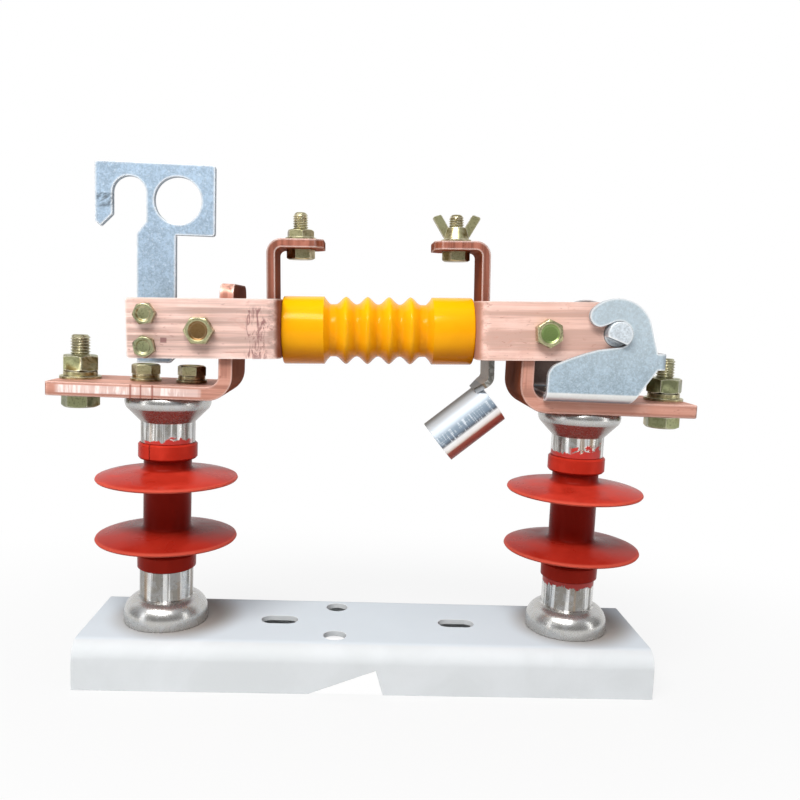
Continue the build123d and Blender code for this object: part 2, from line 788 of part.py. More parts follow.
# Hook and eye plate, upright on the carrier's middle line
strip_left = -left_strap_reach
strip_right = strip_left + strip_width
slot_right = strip_left + slot_setback
slot_left = slot_right - hook_slot_width
head_left = slot_left - finger_width
head_right = strip_right + head_overhang
lean_pivot = (plate_middle, 0, plate_lean_height)
back_to_pivot = (-plate_middle, 0, -plate_lean_height)
leaning = Location(lean_pivot, (0, plate_lean, 0)) * Location(back_to_pivot)
with BuildPart() as hook_eye_plate:
    with BuildSketch(carried(Plane(leaning * Plane.XZ.location))) as plate_outline:
        with BuildLine():
            slot_half = hook_slot_width / 2
            slot_roof = CenterArc((slot_left + slot_half, hook_slot_top - slot_half), slot_half, 180, -180)
            Polyline(
                slot_roof @ 1,
                (slot_right, head_foot + slot_shoulder),
                (strip_left, head_foot),
                (strip_left, -strip_foot),
                (strip_right - strip_chamfer, -strip_foot),
                (strip_right, -strip_foot + strip_chamfer),
                (strip_right, head_foot),
                (head_right, head_foot),
                (head_right, head_top),
                (head_left, head_top),
                (head_left, finger_foot + finger_tip_rise),
                (head_left + finger_tip_rise, finger_foot),
                (slot_left, finger_foot + finger_width - finger_tip_rise),
                slot_roof @ 0,
            )
        make_face()
        fillet(plate_outline.vertices().group_by(Axis.Y)[-1], plate_corner)
        fillet(plate_outline.vertices().group_by(Axis.X)[-1].group_by(Axis.Y)[0], plate_corner)
        eye_x = strip_right + head_overhang - eye_from_edge
        with Locations((eye_x, eye_above_pin)):
            Circle(eye_radius, mode=Mode.SUBTRACT)
        with Locations((-plate_screw_x, 0)):
            with GridLocations(0, plate_screw_spacing, 1, 2):
                Circle(m6_radius + hole_play, mode=Mode.SUBTRACT)
    extrude(amount=plate_thickness / 2, both=True)
save(hook_eye_plate, "hook_eye_plate")

# Screws, spacer tubes and nuts that hold the plate between the blades
front_seats = [carried(Plane(origin=(x, -blade_outer, z), z_dir=(0, -1, 0))) for x, z in plate_screw_points]
rear_seats = [carried(Plane(origin=(x, blade_outer, z), z_dir=(0, 1, 0))) for x, z in plate_screw_points]
plate_shank = 2 * blade_outer + m6_nut + screw_tail
make_screws("plate_screws", front_seats, m6_radius, m6_flats, m6_head, plate_shank)
make_nuts("plate_nuts", rear_seats, m6_radius, m6_flats, m6_nut)

with BuildPart() as plate_spacers:
    for x, z in plate_screw_points:
        for front in (-1, 1):
            plate_face = Plane(origin=(x, front * plate_thickness / 2, z), z_dir=(0, front, 0))
            with BuildSketch(carried(plate_face)):
                Circle(spacer_radius)
                Circle(m6_radius + hole_play, mode=Mode.SUBTRACT)
            extrude(amount=blade_inner - plate_thickness / 2)
save(plate_spacers, "plate_spacers")

# Clamp bolts that squeeze the blades on the legs, with washers and nuts at the rear
clamp_points = [-left_clamp_x, -right_clamp_x]
front_seats = [carried(Plane(origin=(x, -blade_outer, 0), z_dir=(0, -1, 0))) for x in clamp_points]
rear_seats = [carried(Plane(origin=(x, blade_outer, 0), z_dir=(0, 1, 0))) for x in clamp_points]
make_washers("clamp_washers", rear_seats, m8_radius + washer_play, m8_washer_radius, flat_washer)
spring_seats = [seat.offset(flat_washer) for seat in rear_seats]
make_washers(
    "clamp_spring_washers", spring_seats, m8_radius + washer_play, m8_spring_radius, spring_washer, spring_gap
)
nut_seats = [seat.offset(flat_washer + spring_washer) for seat in rear_seats]
make_nuts("clamp_nuts", nut_seats, m8_radius, m8_flats, m8_nut)
clamp_shank = 2 * blade_outer + flat_washer + spring_washer + m8_nut + clamp_tail
make_screws("clamp_bolts", front_seats, m8_radius, m8_flats, m8_head, clamp_shank)

# Hinge pin: round through the blades, flattened where it lies in the hooked ears
pin_half = ear_outer + pin_overhang
with BuildPart() as hinge_pin:
    with BuildSketch(carried(Plane.XZ)):
        Circle(pin_radius)
    extrude(amount=pin_half, both=True)
    fillet(hinge_pin.edges(), pin_edge)
    for front in (-1, 1):
        flat_start = front * (blade_outer + pin_shoulder)
        with BuildSketch(carried(Plane(origin=(0, flat_start, 0), x_dir=(1, 0, 0), z_dir=(0, -1, 0)))):
            with Locations(Location((0, 0, 0), (0, 0, -pin_flat_turn))):
                with Locations((0, -pin_flat)):
                    Rectangle(4 * pin_radius, 2 * pin_radius, align=(Align.CENTER, Align.MAX))
        extrude(amount=-front * pin_half, mode=Mode.SUBTRACT)
save(hinge_pin, "hinge_pin")

# Stick socket: a strap down from the right web, bent and running into the upper wall of its rolled tube
slope = radians(socket_slope)
along = Vector(-cos(slope), 0, -sin(slope))
outward = Vector(-sin(slope), 0, cos(slope))
socket_middle = Vector(-socket_reach, 0, -socket_drop)
socket_mouth = socket_middle + along * (socket_length / 2)
socket_throat = socket_middle - along * (socket_length / 2)
hanger_start = Vector(-hanger_face + hanger_thickness / 2, 0, hanger_rise)
wall_line = socket_throat + outward * (socket_radius + hanger_proud - hanger_thickness / 2)
hanger_bend_point = wall_line + along * ((hanger_start.X - wall_line.X) / along.X)
hanger_end = wall_line + along * hanger_lap
with BuildPart() as stick_socket:
    with BuildSketch(carried(Plane.XZ)):
        with BuildLine() as hanger_line:
            FilletPolyline(
                (hanger_start.X, hanger_start.Z),
                (hanger_bend_point.X, hanger_bend_point.Z),
                (hanger_end.X, hanger_end.Z),
                radius=hanger_bend + hanger_thickness / 2,
            )
        trace(hanger_line.line, line_width=hanger_thickness)
    extrude(amount=hanger_width / 2, both=True)
    lap_corners = stick_socket.faces().sort_by(Axis.X)[0].edges().sort_by(Axis.Y)
    chamfer([lap_corners[0], lap_corners[-1]], hanger_shoulder)
    mouth = carried(Plane(origin=socket_mouth, z_dir=along))
    with BuildSketch(mouth):
        Circle(socket_radius)
    extrude(amount=-socket_length)
    with BuildSketch(mouth):
        Circle(socket_radius - hanger_thickness)
    extrude(amount=-socket_length, mode=Mode.SUBTRACT)
    with BuildSketch(carried(Plane.YZ.offset(-hanger_face))):
        Circle(m8_radius + hole_play)
    extrude(amount=hanger_thickness, mode=Mode.SUBTRACT)
save(stick_socket, "stick_socket")

# Screws along the carrier that clamp straps, brackets and hanger to the insulator
web_points = [
    (
        Plane(origin=(-left_angle_face - angle_thickness, 0, 0), z_dir=(-1, 0, 0)),
        angle_thickness + blade_thickness,
    ),
    (
        Plane(origin=(-hanger_face + hanger_thickness, 0, 0), z_dir=(1, 0, 0)),
        hanger_thickness + angle_thickness + blade_thickness,
    ),
]
with BuildPart() as web_screws:
    for seat, grip in web_points:
        with BuildSketch(carried(seat)):
            RegularPolygon(m8_flats / 2, 6, major_radius=False)
        extrude(amount=m8_head)
        with BuildSketch(carried(seat)):
            Circle(m8_radius)
        extrude(amount=-(grip + insert_depth - screw_end_gap))
save(web_screws, "web_screws")
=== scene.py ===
"""Look of a knife-fuse switch: copper blades and bars, silicone posts, zinc hardware and a painted base."""

from contextlib import contextmanager
from math import atan2, cos, hypot, pi, radians, sin, tan

import bpy
from mathutils import Matrix, Vector


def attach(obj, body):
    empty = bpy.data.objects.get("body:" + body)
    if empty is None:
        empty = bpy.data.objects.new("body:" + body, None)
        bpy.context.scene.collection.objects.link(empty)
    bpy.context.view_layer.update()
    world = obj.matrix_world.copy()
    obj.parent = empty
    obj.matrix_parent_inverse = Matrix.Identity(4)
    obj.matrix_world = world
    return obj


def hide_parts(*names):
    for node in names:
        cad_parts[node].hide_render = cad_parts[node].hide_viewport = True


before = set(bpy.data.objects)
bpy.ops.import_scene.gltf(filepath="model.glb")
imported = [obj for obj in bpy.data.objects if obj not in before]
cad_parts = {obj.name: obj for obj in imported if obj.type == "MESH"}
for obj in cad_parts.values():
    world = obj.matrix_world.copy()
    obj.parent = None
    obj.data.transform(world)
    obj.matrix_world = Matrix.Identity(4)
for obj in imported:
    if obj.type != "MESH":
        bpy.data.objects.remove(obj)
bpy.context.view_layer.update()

# Sizes in millimetres, as on the part
MM = 0.001
deck_height = 25.0
bar_top = 155.0
bar_floor = 148.0
bracket_sheet = 3.0
post_x = 111.0
terminal_x = 157.0
bar_screw_half_spacing = 12.0
closing_angle = radians(1.9)
pin_x = 120.0
pin_height = 190.5
blade_outer = 25.8
flat_washer = 1.6
spring_washer = 2.1
terminal_spring = 2.4
base_sheet = 3.0

# Places along the carrier, measured from the hinge pin
insulator_start = 71.0
insulator_length = 100.0
left_stud_x = -162.0
right_stud_x = -80.0
arm_floor = 42.2
angle_thickness = 4.5
left_clamp_x = -210.2
right_clamp_x = -35.3
plate_screw_points = ((-237.12, -8.10), (-236.70, 8.10))
left_web_screw_x = -178.5
right_web_screw_x = -60.3

# Places on the part, in its own X and Z
clamp_places = {"left": (-90.08, 183.53), "right": (84.72, 189.33)}
socket_middle_x, socket_middle_z = 47.86, 139.28
socket_slope = radians(38.0) + closing_angle
socket_radius = 12.3
socket_strap_start = 18.4
base_half_length, base_half_width = 150.0, 36.0
# The painted shadow by each post's foot: its shift in X and Y, its full radius and its reach
foot_shadow_shape = {"shift_x": 5.0, "shift_y": 4.0, "core": 21.5, "reach": 40.0}

# Marks seen in the photograph: their range in X, then in Z
rubbed_patch = ((-66.0, -58.0), (171.5, 194.0))
blade_nick = ((-109.1, -106.6), (177.0, 179.0))
pale_bar_edge = ((-160.0, -92.0), (bar_floor + 2.0, bar_top - 1.6))
hook_scratch = ((-147.5, -140.5), (245.0, 250.5))
collar_split = ((-116.6, -116.3), (114.5, 123.8))
# Lines scribed across the left bar: place in X and half width
scribed_lines = ((-124.8, 0.4), (-119.7, 0.3), (-113.9, 0.4))

# Screw sizes: radius, across flats, head height, nut height, pitch
M6 = {"radius": 3.0, "flats": 10.0, "head": 4.0, "nut": 5.0, "pitch": 1.0}
M8 = {"radius": 4.0, "flats": 13.0, "head": 5.3, "nut": 6.5, "pitch": 1.25}
thin_nut = 4.0
M10 = {"radius": 5.0, "flats": 17.0, "head": 6.4, "nut": 8.4, "pitch": 1.5}
M12 = {"radius": 6.0, "flats": 19.0, "head": 7.5, "nut": 10.0, "pitch": 1.75}

carrier = (
    Matrix.Translation(Vector((pin_x, 0, pin_height)) * MM)
    @ Matrix.Rotation(-closing_angle, 4, "Y")
)


def at(x, y, z, facing="+Z", turn=0.0, on=None):
    """The placing of a screw or nut: its own Z turned to face one way, at a point in millimetres."""
    facings = {
        "+Z": Matrix.Identity(4),
        "-Z": Matrix.Rotation(pi, 4, "X"),
        "-Y": Matrix.Rotation(pi / 2, 4, "X"),
        "+Y": Matrix.Rotation(-pi / 2, 4, "X"),
        "+X": Matrix.Rotation(pi / 2, 4, "Y"),
        "-X": Matrix.Rotation(-pi / 2, 4, "Y"),
    }
    base = on if on is not None else Matrix.Identity(4)
    place = Matrix.Translation(Vector((x, y, z)) * MM)
    return base @ place @ facings[facing] @ Matrix.Rotation(radians(turn), 4, "Z")


# Shader sums

class Socket:
    """A shader socket that can be added, multiplied and compared, each operator adding its Math node."""

    def __init__(self, tree, output):
        self.tree = tree
        self.output = output

    def node(self, kind, values=None, output=0, stops=None, **settings):
        """Adds a node of this kind: its settings, its ramp's stops, then its sockets' values or links."""
        made = self.tree.nodes.new("ShaderNode" + kind)
        for name, value in settings.items():
            setattr(made, name, value)
        if stops:
            ramp = made.color_ramp
            while len(ramp.elements) < len(stops):
                ramp.elements.new(1.0)
            for element, (position, colour) in zip(ramp.elements, stops):
                element.position = position
                element.color = (*colour, 1.0)
        for name, value in (values or {}).items():
            target = made.inputs[name]
            if isinstance(value, Socket):
                self.tree.links.new(value.output, target)
            elif isinstance(value, tuple) and len(value) == 3 and target.type == "RGBA":
                target.default_value = (*value, 1.0)
            else:
                target.default_value = value
        return Socket(self.tree, made.outputs[output])

    def math(self, operation, first, second=0.0, clamp=False):
        return self.node("Math", {0: first, 1: second}, operation=operation, use_clamp=clamp)

    def __add__(self, other):
        return self.math("ADD", self, other)

    __radd__ = __add__

    def __sub__(self, other):
        return self.math("SUBTRACT", self, other)

    def __rsub__(self, other):
        return self.math("SUBTRACT", other, self)

    def __mul__(self, other):
        return self.math("MULTIPLY", self, other)

    __rmul__ = __mul__

    def __truediv__(self, other):
        return self.math("DIVIDE", self, other)

    def __pow__(self, other):
        return self.math("POWER", self, other)

    def __abs__(self):
        return self.math("ABSOLUTE", self)


def new_material(name):
    """An empty node material and its Object coordinates."""
    material = bpy.data.materials.new(name)
    material.use_nodes = True
    material.node_tree.nodes.clear()
    tree = material.node_tree
    coordinates = tree.nodes.new("ShaderNodeTexCoord")
    return material, Socket(tree, coordinates.outputs["Object"])


def stretched(place, x, y, z, turn=0.0):
    """Coordinates turned about Y and scaled, so that a noise at scale 1 has these many features a metre."""
    level = place.node("Mapping", {"Vector": place, "Rotation": (0.0, turn, 0.0)})
    return place.node("Mapping", {"Vector": level, "Scale": (x, y, z)})


def noise(place, scale, detail=4.0, rough=0.55, warp=0.0):
    values = {"Vector": place, "Scale": scale, "Detail": detail, "Roughness": rough, "Distortion": warp}
    return place.node("TexNoise", values)


def between(value, low, high):
    """0 below low, 1 above high, and a smooth ramp between them."""
    values = {"Value": value, "From Min": low, "From Max": high}
    return value.node("MapRange", values, interpolation_type="SMOOTHSTEP")


def band(value, low, high, soft):
    """1 between low and high, falling to 0 over the soft distance outside them."""
    return between(value, low - soft, low) * (1.0 - between(value, high, high + soft))


def spot(x, z, mark, soft_x, soft_z):
    """1 inside a mark's ranges in X and Z, falling to 0 outside them, all given in millimetres."""
    (x_low, x_high), (z_low, z_high) = mark
    return band(x, x_low * MM, x_high * MM, soft_x * MM) * band(z, z_low * MM, z_high * MM, soft_z * MM)


def mixed(factor, first, second):
    """A colour between two colours."""
    return factor.node("Mix", {0: factor, 6: first, 7: second}, output=2, data_type="RGBA")


def edge_mask(place, width, gain=2.5):
    """1 on edges, which take wear and a painted highlight, from how far a rounded normal leaves the true one.
    """
    rounded = place.node("Bevel", {"Radius": width * MM}, samples=6)
    true_normal = place.node("NewGeometry", output="Normal")
    likeness = place.node("VectorMath", {0: rounded, 1: true_normal}, output="Value", operation="DOT_PRODUCT")
    return place.math("MULTIPLY", 1.0 - likeness, gain, clamp=True)


def parts_of(place):
    """X, Y and Z of a position, in metres."""
    split = place.node("SeparateXYZ", {0: place})
    outputs = split.output.node.outputs
    return tuple(Socket(place.tree, outputs[axis]) for axis in ("X", "Y", "Z"))


def close(material, place, colour, roughness, metallic=0.0, bump=None, bump_height=0.1, **fixed):
    """Ends a material: its surface, an optional bump given in millimetres, and fixed shader values."""
    values = {"Base Color": colour, "Roughness": roughness, "Metallic": metallic, **fixed}
    if bump is not None:
        values["Normal"] = place.node("Bump", {"Height": bump, "Distance": bump_height * MM, "Strength": 1.0})
    surface = place.node("BsdfPrincipled", {k.replace("_", " "): v for k, v in values.items()})
    output = place.tree.nodes.new("ShaderNodeOutputMaterial")
    place.tree.links.new(surface.output, output.inputs["Surface"])
    return material


# Finishes

# Weak, tinted highlights, chosen to match the photograph
copper_sheen = {"Specular_IOR_Level": 0.10, "Specular_Tint": (1.0, 0.55, 0.42)}
silicone_sheen = {"Specular_IOR_Level": 0.07, "Specular_Tint": (1.0, 0.42, 0.38)}
resin_sheen = {"Specular_IOR_Level": 0.12, "Specular_Tint": (1.0, 0.72, 0.35)}
resin_coat = {"Coat_Weight": 0.08, "Coat_Roughness": 0.05}


def facing(place):
    """How far a surface faces along X, Y and Z, in the piece's own frame."""
    return parts_of(place.node("TexCoord", output="Normal"))


def copper(name, tone, shade, metal, grain_turn=0.0, grain="flat"):
    """Bare copper strip: drawn lines, small dents, painted brown shade on its side and under faces, and pale
    worn edges with a painted highlight.

    The lines of a "flat" grain run along the strip. Those of a "leg" turn upward above the bar's top.
    Those of an "upright" one run upward on its sides.
    """
    material, place = new_material(name)
    lines = noise(stretched(place, 10.0, 330.0, 330.0, grain_turn), 1.0, 4.0, 0.6)
    if grain != "flat":
        lines_upward = noise(stretched(place, 330.0, 330.0, 10.0, grain_turn), 1.0, 4.0, 0.6)
        if grain == "leg":
            upward = between(parts_of(place)[2], (bar_top + 2) * MM, (bar_top + 9) * MM)
        else:
            upward = 1.0 - between(abs(facing(place)[2]), 0.5, 0.8)
        lines = lines * (1.0 - upward) + lines_upward * upward
    cloud = noise(place, 42.0, 4.0, 0.6, 0.8)
    pitted = noise(stretched(place, 240.0, 620.0, 620.0, grain_turn), 1.0, 4.0, 0.65, 0.4)
    dents = between(pitted, 0.61, 0.67) * between(cloud, 0.40, 0.56)
    hairs = between(noise(stretched(place, 26.0, 1300.0, 1300.0, grain_turn), 1.0, 3.0, 0.6, 0.3), 0.52, 0.66)
    smear = between(noise(stretched(place, 45.0, 120.0, 120.0, grain_turn), 1.0, 5.0, 0.7, 1.2), 0.57, 0.70)
    dark = tuple(c * shade for c in tone)
    pale = (min(1.0, tone[0] * 1.10), min(1.0, tone[1] * 1.24), min(1.0, tone[2] * 1.30))
    colour = mixed(between(lines, 0.38, 0.60), dark, tone)
    colour = mixed(between(lines * 0.6 + cloud * 0.4, 0.50, 0.66) * 0.75, colour, pale)
    colour = mixed(hairs * 0.30, colour, (tone[0] * 0.66, tone[1] * 0.50, tone[2] * 0.46))
    colour = mixed(smear * 0.45, colour, (tone[0] * 0.68, tone[1] * 0.50, tone[2] * 0.48))
    colour = mixed(dents * 0.75, colour, (tone[0] * 0.42, tone[1] * 0.30, tone[2] * 0.30))
    # Faces turned along X or downward get painted brown shade, with less metal and more roughness.
    face_x, _, face_z = facing(place)
    inside = between(abs(face_x), 0.50, 0.90) * 0.92 + between(-1.0 * face_z, 0.35, 0.80) * 0.75
    inside = place.math("MINIMUM", inside, 1.0)
    colour = mixed(inside, colour, (0.20, 0.040, 0.008))
    # Edges paler: worn, with a painted highlight.
    edge_wear_and_highlight = edge_mask(place, 1.7, 7.0)
    colour = mixed(edge_wear_and_highlight * (0.85 - inside * 0.35), colour, (1.0, 0.87, 0.81))
    roughness = 0.36 + lines * 0.16 + smear * 0.10 + inside * 0.40 - edge_wear_and_highlight * 0.08
    return material, place, colour, roughness, lines, metal * (1.0 - inside)


def blade_copper(name):
    """Copper of the blades, with a dark rubbed patch beside the left web and a small nick."""
    tone = (0.87, 0.60, 0.525)
    material, place, colour, roughness, lines, metal = copper(name, tone, 0.62, 0.25, closing_angle)
    x, y, z = parts_of(place)
    front = between(-1.0 * y, 0.020, 0.024)
    ragged = between(noise(stretched(place, 420.0, 300.0, 120.0), 1.0, 5.0, 0.7, 1.2), 0.48, 0.60)
    rub = spot(x, z, rubbed_patch, 3.0, 4.0) * front * ragged
    nick = spot(x, z, blade_nick, 0.6, 0.5) * front
    colour = mixed(rub * 0.72 + nick * 0.7, colour, (0.20, 0.075, 0.080))
    right = between(x, 0.0, 0.02)
    colour = mixed(right * 0.30, colour, (0.88, 0.50, 0.38))
    return close(material, place, colour, roughness + rub * 0.2, metal, lines, 0.03, **copper_sheen)


def bar_copper(name):
    """Copper of the bars: sheared front edges with a pale middle, and lines scribed across the left one."""
    tone = (0.74, 0.40, 0.31)
    material, place, colour, roughness, lines, metal = copper(name, tone, 0.60, 0.28, grain="leg")
    x, y, z = parts_of(place)
    front = between(-1.0 * y, 0.0221, 0.0225)
    chatter = between(noise(stretched(place, 330.0, 40.0, 40.0), 1.0, 4.0, 0.7, 0.6), 0.46, 0.62)
    left = 1.0 - between(x, -0.02, 0.0)
    middle = spot(x, z, pale_bar_edge, 3.0, 0.6) * front
    colour = mixed(front * (0.38 + left * 0.04), colour, (0.42, 0.15, 0.10))
    colour = mixed(middle * (0.45 + chatter * 0.50), colour, (0.98, 0.86, 0.82))
    scribed = 0.0
    for line_x, half_width in scribed_lines:
        scribed = scribed + band(x, (line_x - half_width) * MM, (line_x + half_width) * MM, 0.00025)
    colour = mixed(scribed * front * 0.75, colour, (0.30, 0.09, 0.06))
    return close(material, place, colour, roughness, metal, lines, 0.03, **copper_sheen)


def bracket_copper(name):
    """Duller copper of the two fuse brackets."""
    material, place, colour, roughness, lines, metal = copper(
        name, (0.42, 0.155, 0.105), 0.55, 0.22, closing_angle, "upright"
    )
    return close(material, place, colour, roughness, metal, lines, 0.03, **copper_sheen)


def grey_zinc(name, scratches=(), tone=(0.345, 0.455, 0.575), inner=0.0):
    """Bluish zinc: fine mottled spangle, scratches, pale worn edges with a painted highlight, painted shade
    on edge faces and brown painted shade on inner faces.
    """
    material, place = new_material(name)
    x, y, z = parts_of(place)
    mottle = noise(place, 760.0, 5.0, 0.72, 0.9)
    patch = noise(place, 130.0, 3.0, 0.6, 0.5)
    dark = tuple(c * 0.80 for c in tone)
    pale = tuple(min(1.0, c * 1.16) for c in tone)
    colour = mixed(between(mottle * 0.75 + patch * 0.25, 0.40, 0.60), dark, pale)
    flecks = between(noise(place, 900.0, 3.0, 0.6), 0.58, 0.68)
    colour = mixed(flecks * 0.35, colour, (0.76, 0.84, 0.90))
    face_x, face_y, face_z = facing(place)
    if inner:
        # Painted light: paler higher above the bar.
        painted_light_above = between(z, (bar_top + 2.0) * MM, (bar_top + 45.0) * MM)
        colour = mixed(painted_light_above * 0.35, colour, (0.72, 0.80, 0.82))
        # A painted highlight along the bend at the ears' foot.
        bend_highlight = band(z, (bar_top + 0.6) * MM, (bar_top + 4.2) * MM, 0.0009) * between(abs(y), 0.0262, 0.0285)
        colour = mixed(bend_highlight * 0.75, colour, (0.92, 0.90, 0.85))
        # Painted brown shade on the rear ear's inner face and on upward faces between the ears.
        hidden = between(-1.0 * face_y, 0.5, 0.9) * between(y, 0.020, 0.022)
        hidden = hidden + between(face_z, 0.5, 0.9) * (1.0 - between(abs(y), 0.0240, 0.0255))
        colour = mixed(hidden * inner, colour, (0.14, 0.065, 0.035))
    # Painted shade on faces turned along X or Z.
    side = between(abs(face_x) + abs(face_z), 0.5, 0.9)
    colour = mixed(side * 0.55, colour, (0.16, 0.18, 0.20))
    # Edges paler: worn, with a painted highlight.
    edge_wear_and_highlight = edge_mask(place, 2.0, 9.0)
    colour = mixed(edge_wear_and_highlight * 0.90, colour, (0.95, 0.97, 0.98))
    for scratch, strength in scratches:
        scrape = between(noise(stretched(place, 160.0, 160.0, 700.0, 0.6), 1.0, 4.0, 0.7), 0.44, 0.60)
        mark = spot(x, z, scratch, 1.4, 1.4) * scrape * strength
        colour = mixed(mark, colour, (0.09, 0.115, 0.14))
    return close(material, place, colour, 0.38 + mottle * 0.20 - edge_wear_and_highlight * 0.1, 0.35, mottle, 0.015)


def yellow_zinc(name, green=0.35, dishes=()):
    """Passivated zinc between gold, olive and green, dark in its grime and in the heads' dishes."""
    material, place = new_material(name)
    drift = noise(place, 150.0, 2.0, 0.5, 0.7)
    grime = noise(place, 1100.0, 4.0, 0.65)
    colour = mixed(between(drift, 0.40, 0.60), (0.20, 0.145, 0.045), (0.50, 0.44, 0.26))
    leafy = between(noise(place, 75.0, 2.0), 0.62 - green * 0.4, 0.82 - green * 0.4)
    colour = mixed(leafy * 0.8, colour, (0.17, 0.205, 0.10))
    _, face_y, face_z = facing(place)
    lit = place.math("MAXIMUM", between(-1.0 * face_y, 0.80, 0.97) * 0.75, between(face_z, 0.6, 0.95) * 0.55)
    colour = mixed(lit, colour, (0.62 - green * 0.46, 0.60 - green * 0.38, 0.34 - green * 0.24))
    colour = mixed(between(grime, 0.50, 0.66) * 0.45, colour, (0.045, 0.034, 0.015))
    x, y, z = parts_of(place)
    for (dish_x, dish_z), radius, tone in dishes:
        out = place.math("SQRT", (x - dish_x * MM) ** 2.0 + (z - dish_z * MM) ** 2.0)
        sunk = 1.0 - between(out, (radius - 0.5) * MM, (radius + 0.3) * MM)
        sunk = sunk * between(-1.0 * y, 0.0270, 0.0285)
        colour = mixed(sunk * 0.85, colour, tone)
    # Edges paler: worn, with a painted highlight.
    edge_wear_and_highlight = edge_mask(place, 0.8, 8.0)
    colour = mixed(edge_wear_and_highlight * 0.90, colour, (0.97, 0.93, 0.76))
    return close(material, place, colour, 0.24 + grime * 0.22, 0.85, grime, 0.010)


def bright_plate(name, smears):
    """Turned and plated fittings: painted reflection in light and dark bands round the barrel, painted shade
    on faces turned down, freckles, and films of red silicone near the sheath.

    A smear is its range across the post, the height of its middle and its reach up and down.
    """
    material, place = new_material(name)
    x, y, z = parts_of(place)
    side = place.math("SIGN", x)
    across = x - side * (post_x * MM)
    angle = place.math("ARCTAN2", across, -1.0 * y)
    out = place.math("SQRT", across * across + y * y)
    streaks = place.node("CombineXYZ", {"X": angle * 3.6, "Y": z * 8.0, "Z": side * 5.0})
    barrel = 1.0 - between(out, 0.0143, 0.0150)
    # Light and dark bands round the barrel are painted reflection.
    reflection_band = between(noise(streaks, 1.0, 4.0, 0.65), 0.47, 0.57)
    blotch = noise(place, 190.0, 4.0, 0.65, 0.6)
    freckle = between(noise(place, 900.0, 3.0, 0.7), 0.60, 0.72)
    reflection_tone = reflection_band * barrel + (1.0 - barrel) * (0.35 + blotch * 0.30)
    colour = mixed(reflection_tone, (0.26, 0.245, 0.22), (0.80, 0.80, 0.78))
    colour = mixed(between(blotch, 0.42, 0.66) * 0.30, colour, (0.52, 0.55, 0.60))
    warm = between(noise(streaks, 0.7, 2.0), 0.55, 0.68)
    colour = mixed(warm * barrel * 0.50, colour, (0.42, 0.27, 0.15))
    # Painted shade on faces turned down.
    below = between(-1.0 * facing(place)[2], 0.15, 0.75)
    colour = mixed(below * 0.60, colour, (0.16, 0.105, 0.080))
    colour = mixed(freckle * 0.35, colour, (0.16, 0.145, 0.12))
    # Edges paler: worn, with a painted highlight.
    edge_wear_and_highlight = edge_mask(place, 0.9, 4.0)
    colour = mixed(edge_wear_and_highlight * 0.5, colour, (0.92, 0.93, 0.93))
    ragged = noise(stretched(place, 150.0, 150.0, 240.0), 1.0, 4.0, 0.65, 1.0)
    film = 0.0
    for low, high, middle_z, reach in smears:
        level = (z - middle_z * MM) / (reach * MM)
        covered = between(ragged - abs(level) * 0.45, 0.20, 0.24)
        film = film + band(across, low * MM, high * MM, 0.002) * covered * barrel
    film = place.math("MINIMUM", film, 1.0)
    colour = mixed(film, colour, (0.46, 0.020, 0.012))
    roughness = 0.20 + blotch * 0.14 + film * 0.12
    height = blotch * 0.3 + film
    return close(material, place, colour, roughness, 0.80 - film * 0.78, height, 0.10)


def tube_plate(name):
    """Plated socket: bands along the tube of painted reflection, highlight and shade, in pale, brushed and
    rust-red tones, and a duller zinc strap.
    """
    material, place = new_material(name)
    x, y, z = parts_of(place)
    past_x, past_z = x - socket_middle_x * MM, z - socket_middle_z * MM
    beside = past_z * cos(socket_slope) - past_x * sin(socket_slope)
    lengthwise = past_x * cos(socket_slope) + past_z * sin(socket_slope)
    drawn = place.node("CombineXYZ", {"X": lengthwise * 60.0, "Y": beside * 1500.0, "Z": y * 1500.0})
    wiped = place.node("CombineXYZ", {"X": lengthwise * 800.0, "Y": beside * 90.0, "Z": y * 90.0})
    fine, cross = noise(drawn, 1.0, 4.0), noise(wiped, 1.0, 4.0)
    share = beside / (socket_radius * MM) * 0.5 + 0.5
    # Across the tube the tone is painted light: from its low side up, a rust-red painted reflection, a white
    # painted highlight, a dark band, grey-blue and pale painted reflection and a dark painted edge.
    tone = share.node(
        "ValToRGB",
        {0: share},
        stops=[
            (0.00, (0.10, 0.025, 0.018)),
            (0.06, (0.30, 0.060, 0.042)),
            (0.22, (0.44, 0.130, 0.095)),
            (0.26, (0.86, 0.790, 0.700)),
            (0.31, (1.00, 0.990, 0.980)),
            (0.37, (0.94, 0.940, 0.940)),
            (0.42, (0.10, 0.110, 0.130)),
            (0.48, (0.18, 0.235, 0.300)),
            (0.62, (0.28, 0.355, 0.430)),
            (0.71, (0.52, 0.590, 0.660)),
            (0.84, (0.56, 0.610, 0.660)),
            (0.93, (0.40, 0.425, 0.445)),
            (1.00, (0.07, 0.055, 0.040)),
        ],
    )
    brushed = band(share, 0.40, 0.64, 0.04) * between(cross * 0.7 + fine * 0.3, 0.50, 0.62)
    colour = mixed(brushed * 0.65, tone, (0.82, 0.87, 0.92))
    strap = between(lengthwise, socket_strap_start * MM, (socket_strap_start + 1.0) * MM)
    mottle = noise(place, 420.0, 4.0, 0.65, 0.6)
    strap_colour = mixed(between(mottle, 0.40, 0.60), (0.20, 0.195, 0.175), (0.40, 0.40, 0.37))
    end_face = between(-1.0 * facing(place)[0], 0.2, 0.7)
    strap_colour = mixed(end_face * 0.85, strap_colour, (0.20, 0.120, 0.050))
    colour = mixed(strap, colour, strap_colour)
    # Edges paler: worn, with a painted highlight.
    colour = mixed(edge_mask(place, 0.5, 3.0) * 0.6, colour, (0.93, 0.93, 0.92))
    return close(material, place, colour, 0.30 + fine * 0.14, 0.12, fine, 0.01, Specular_IOR_Level=0.15)


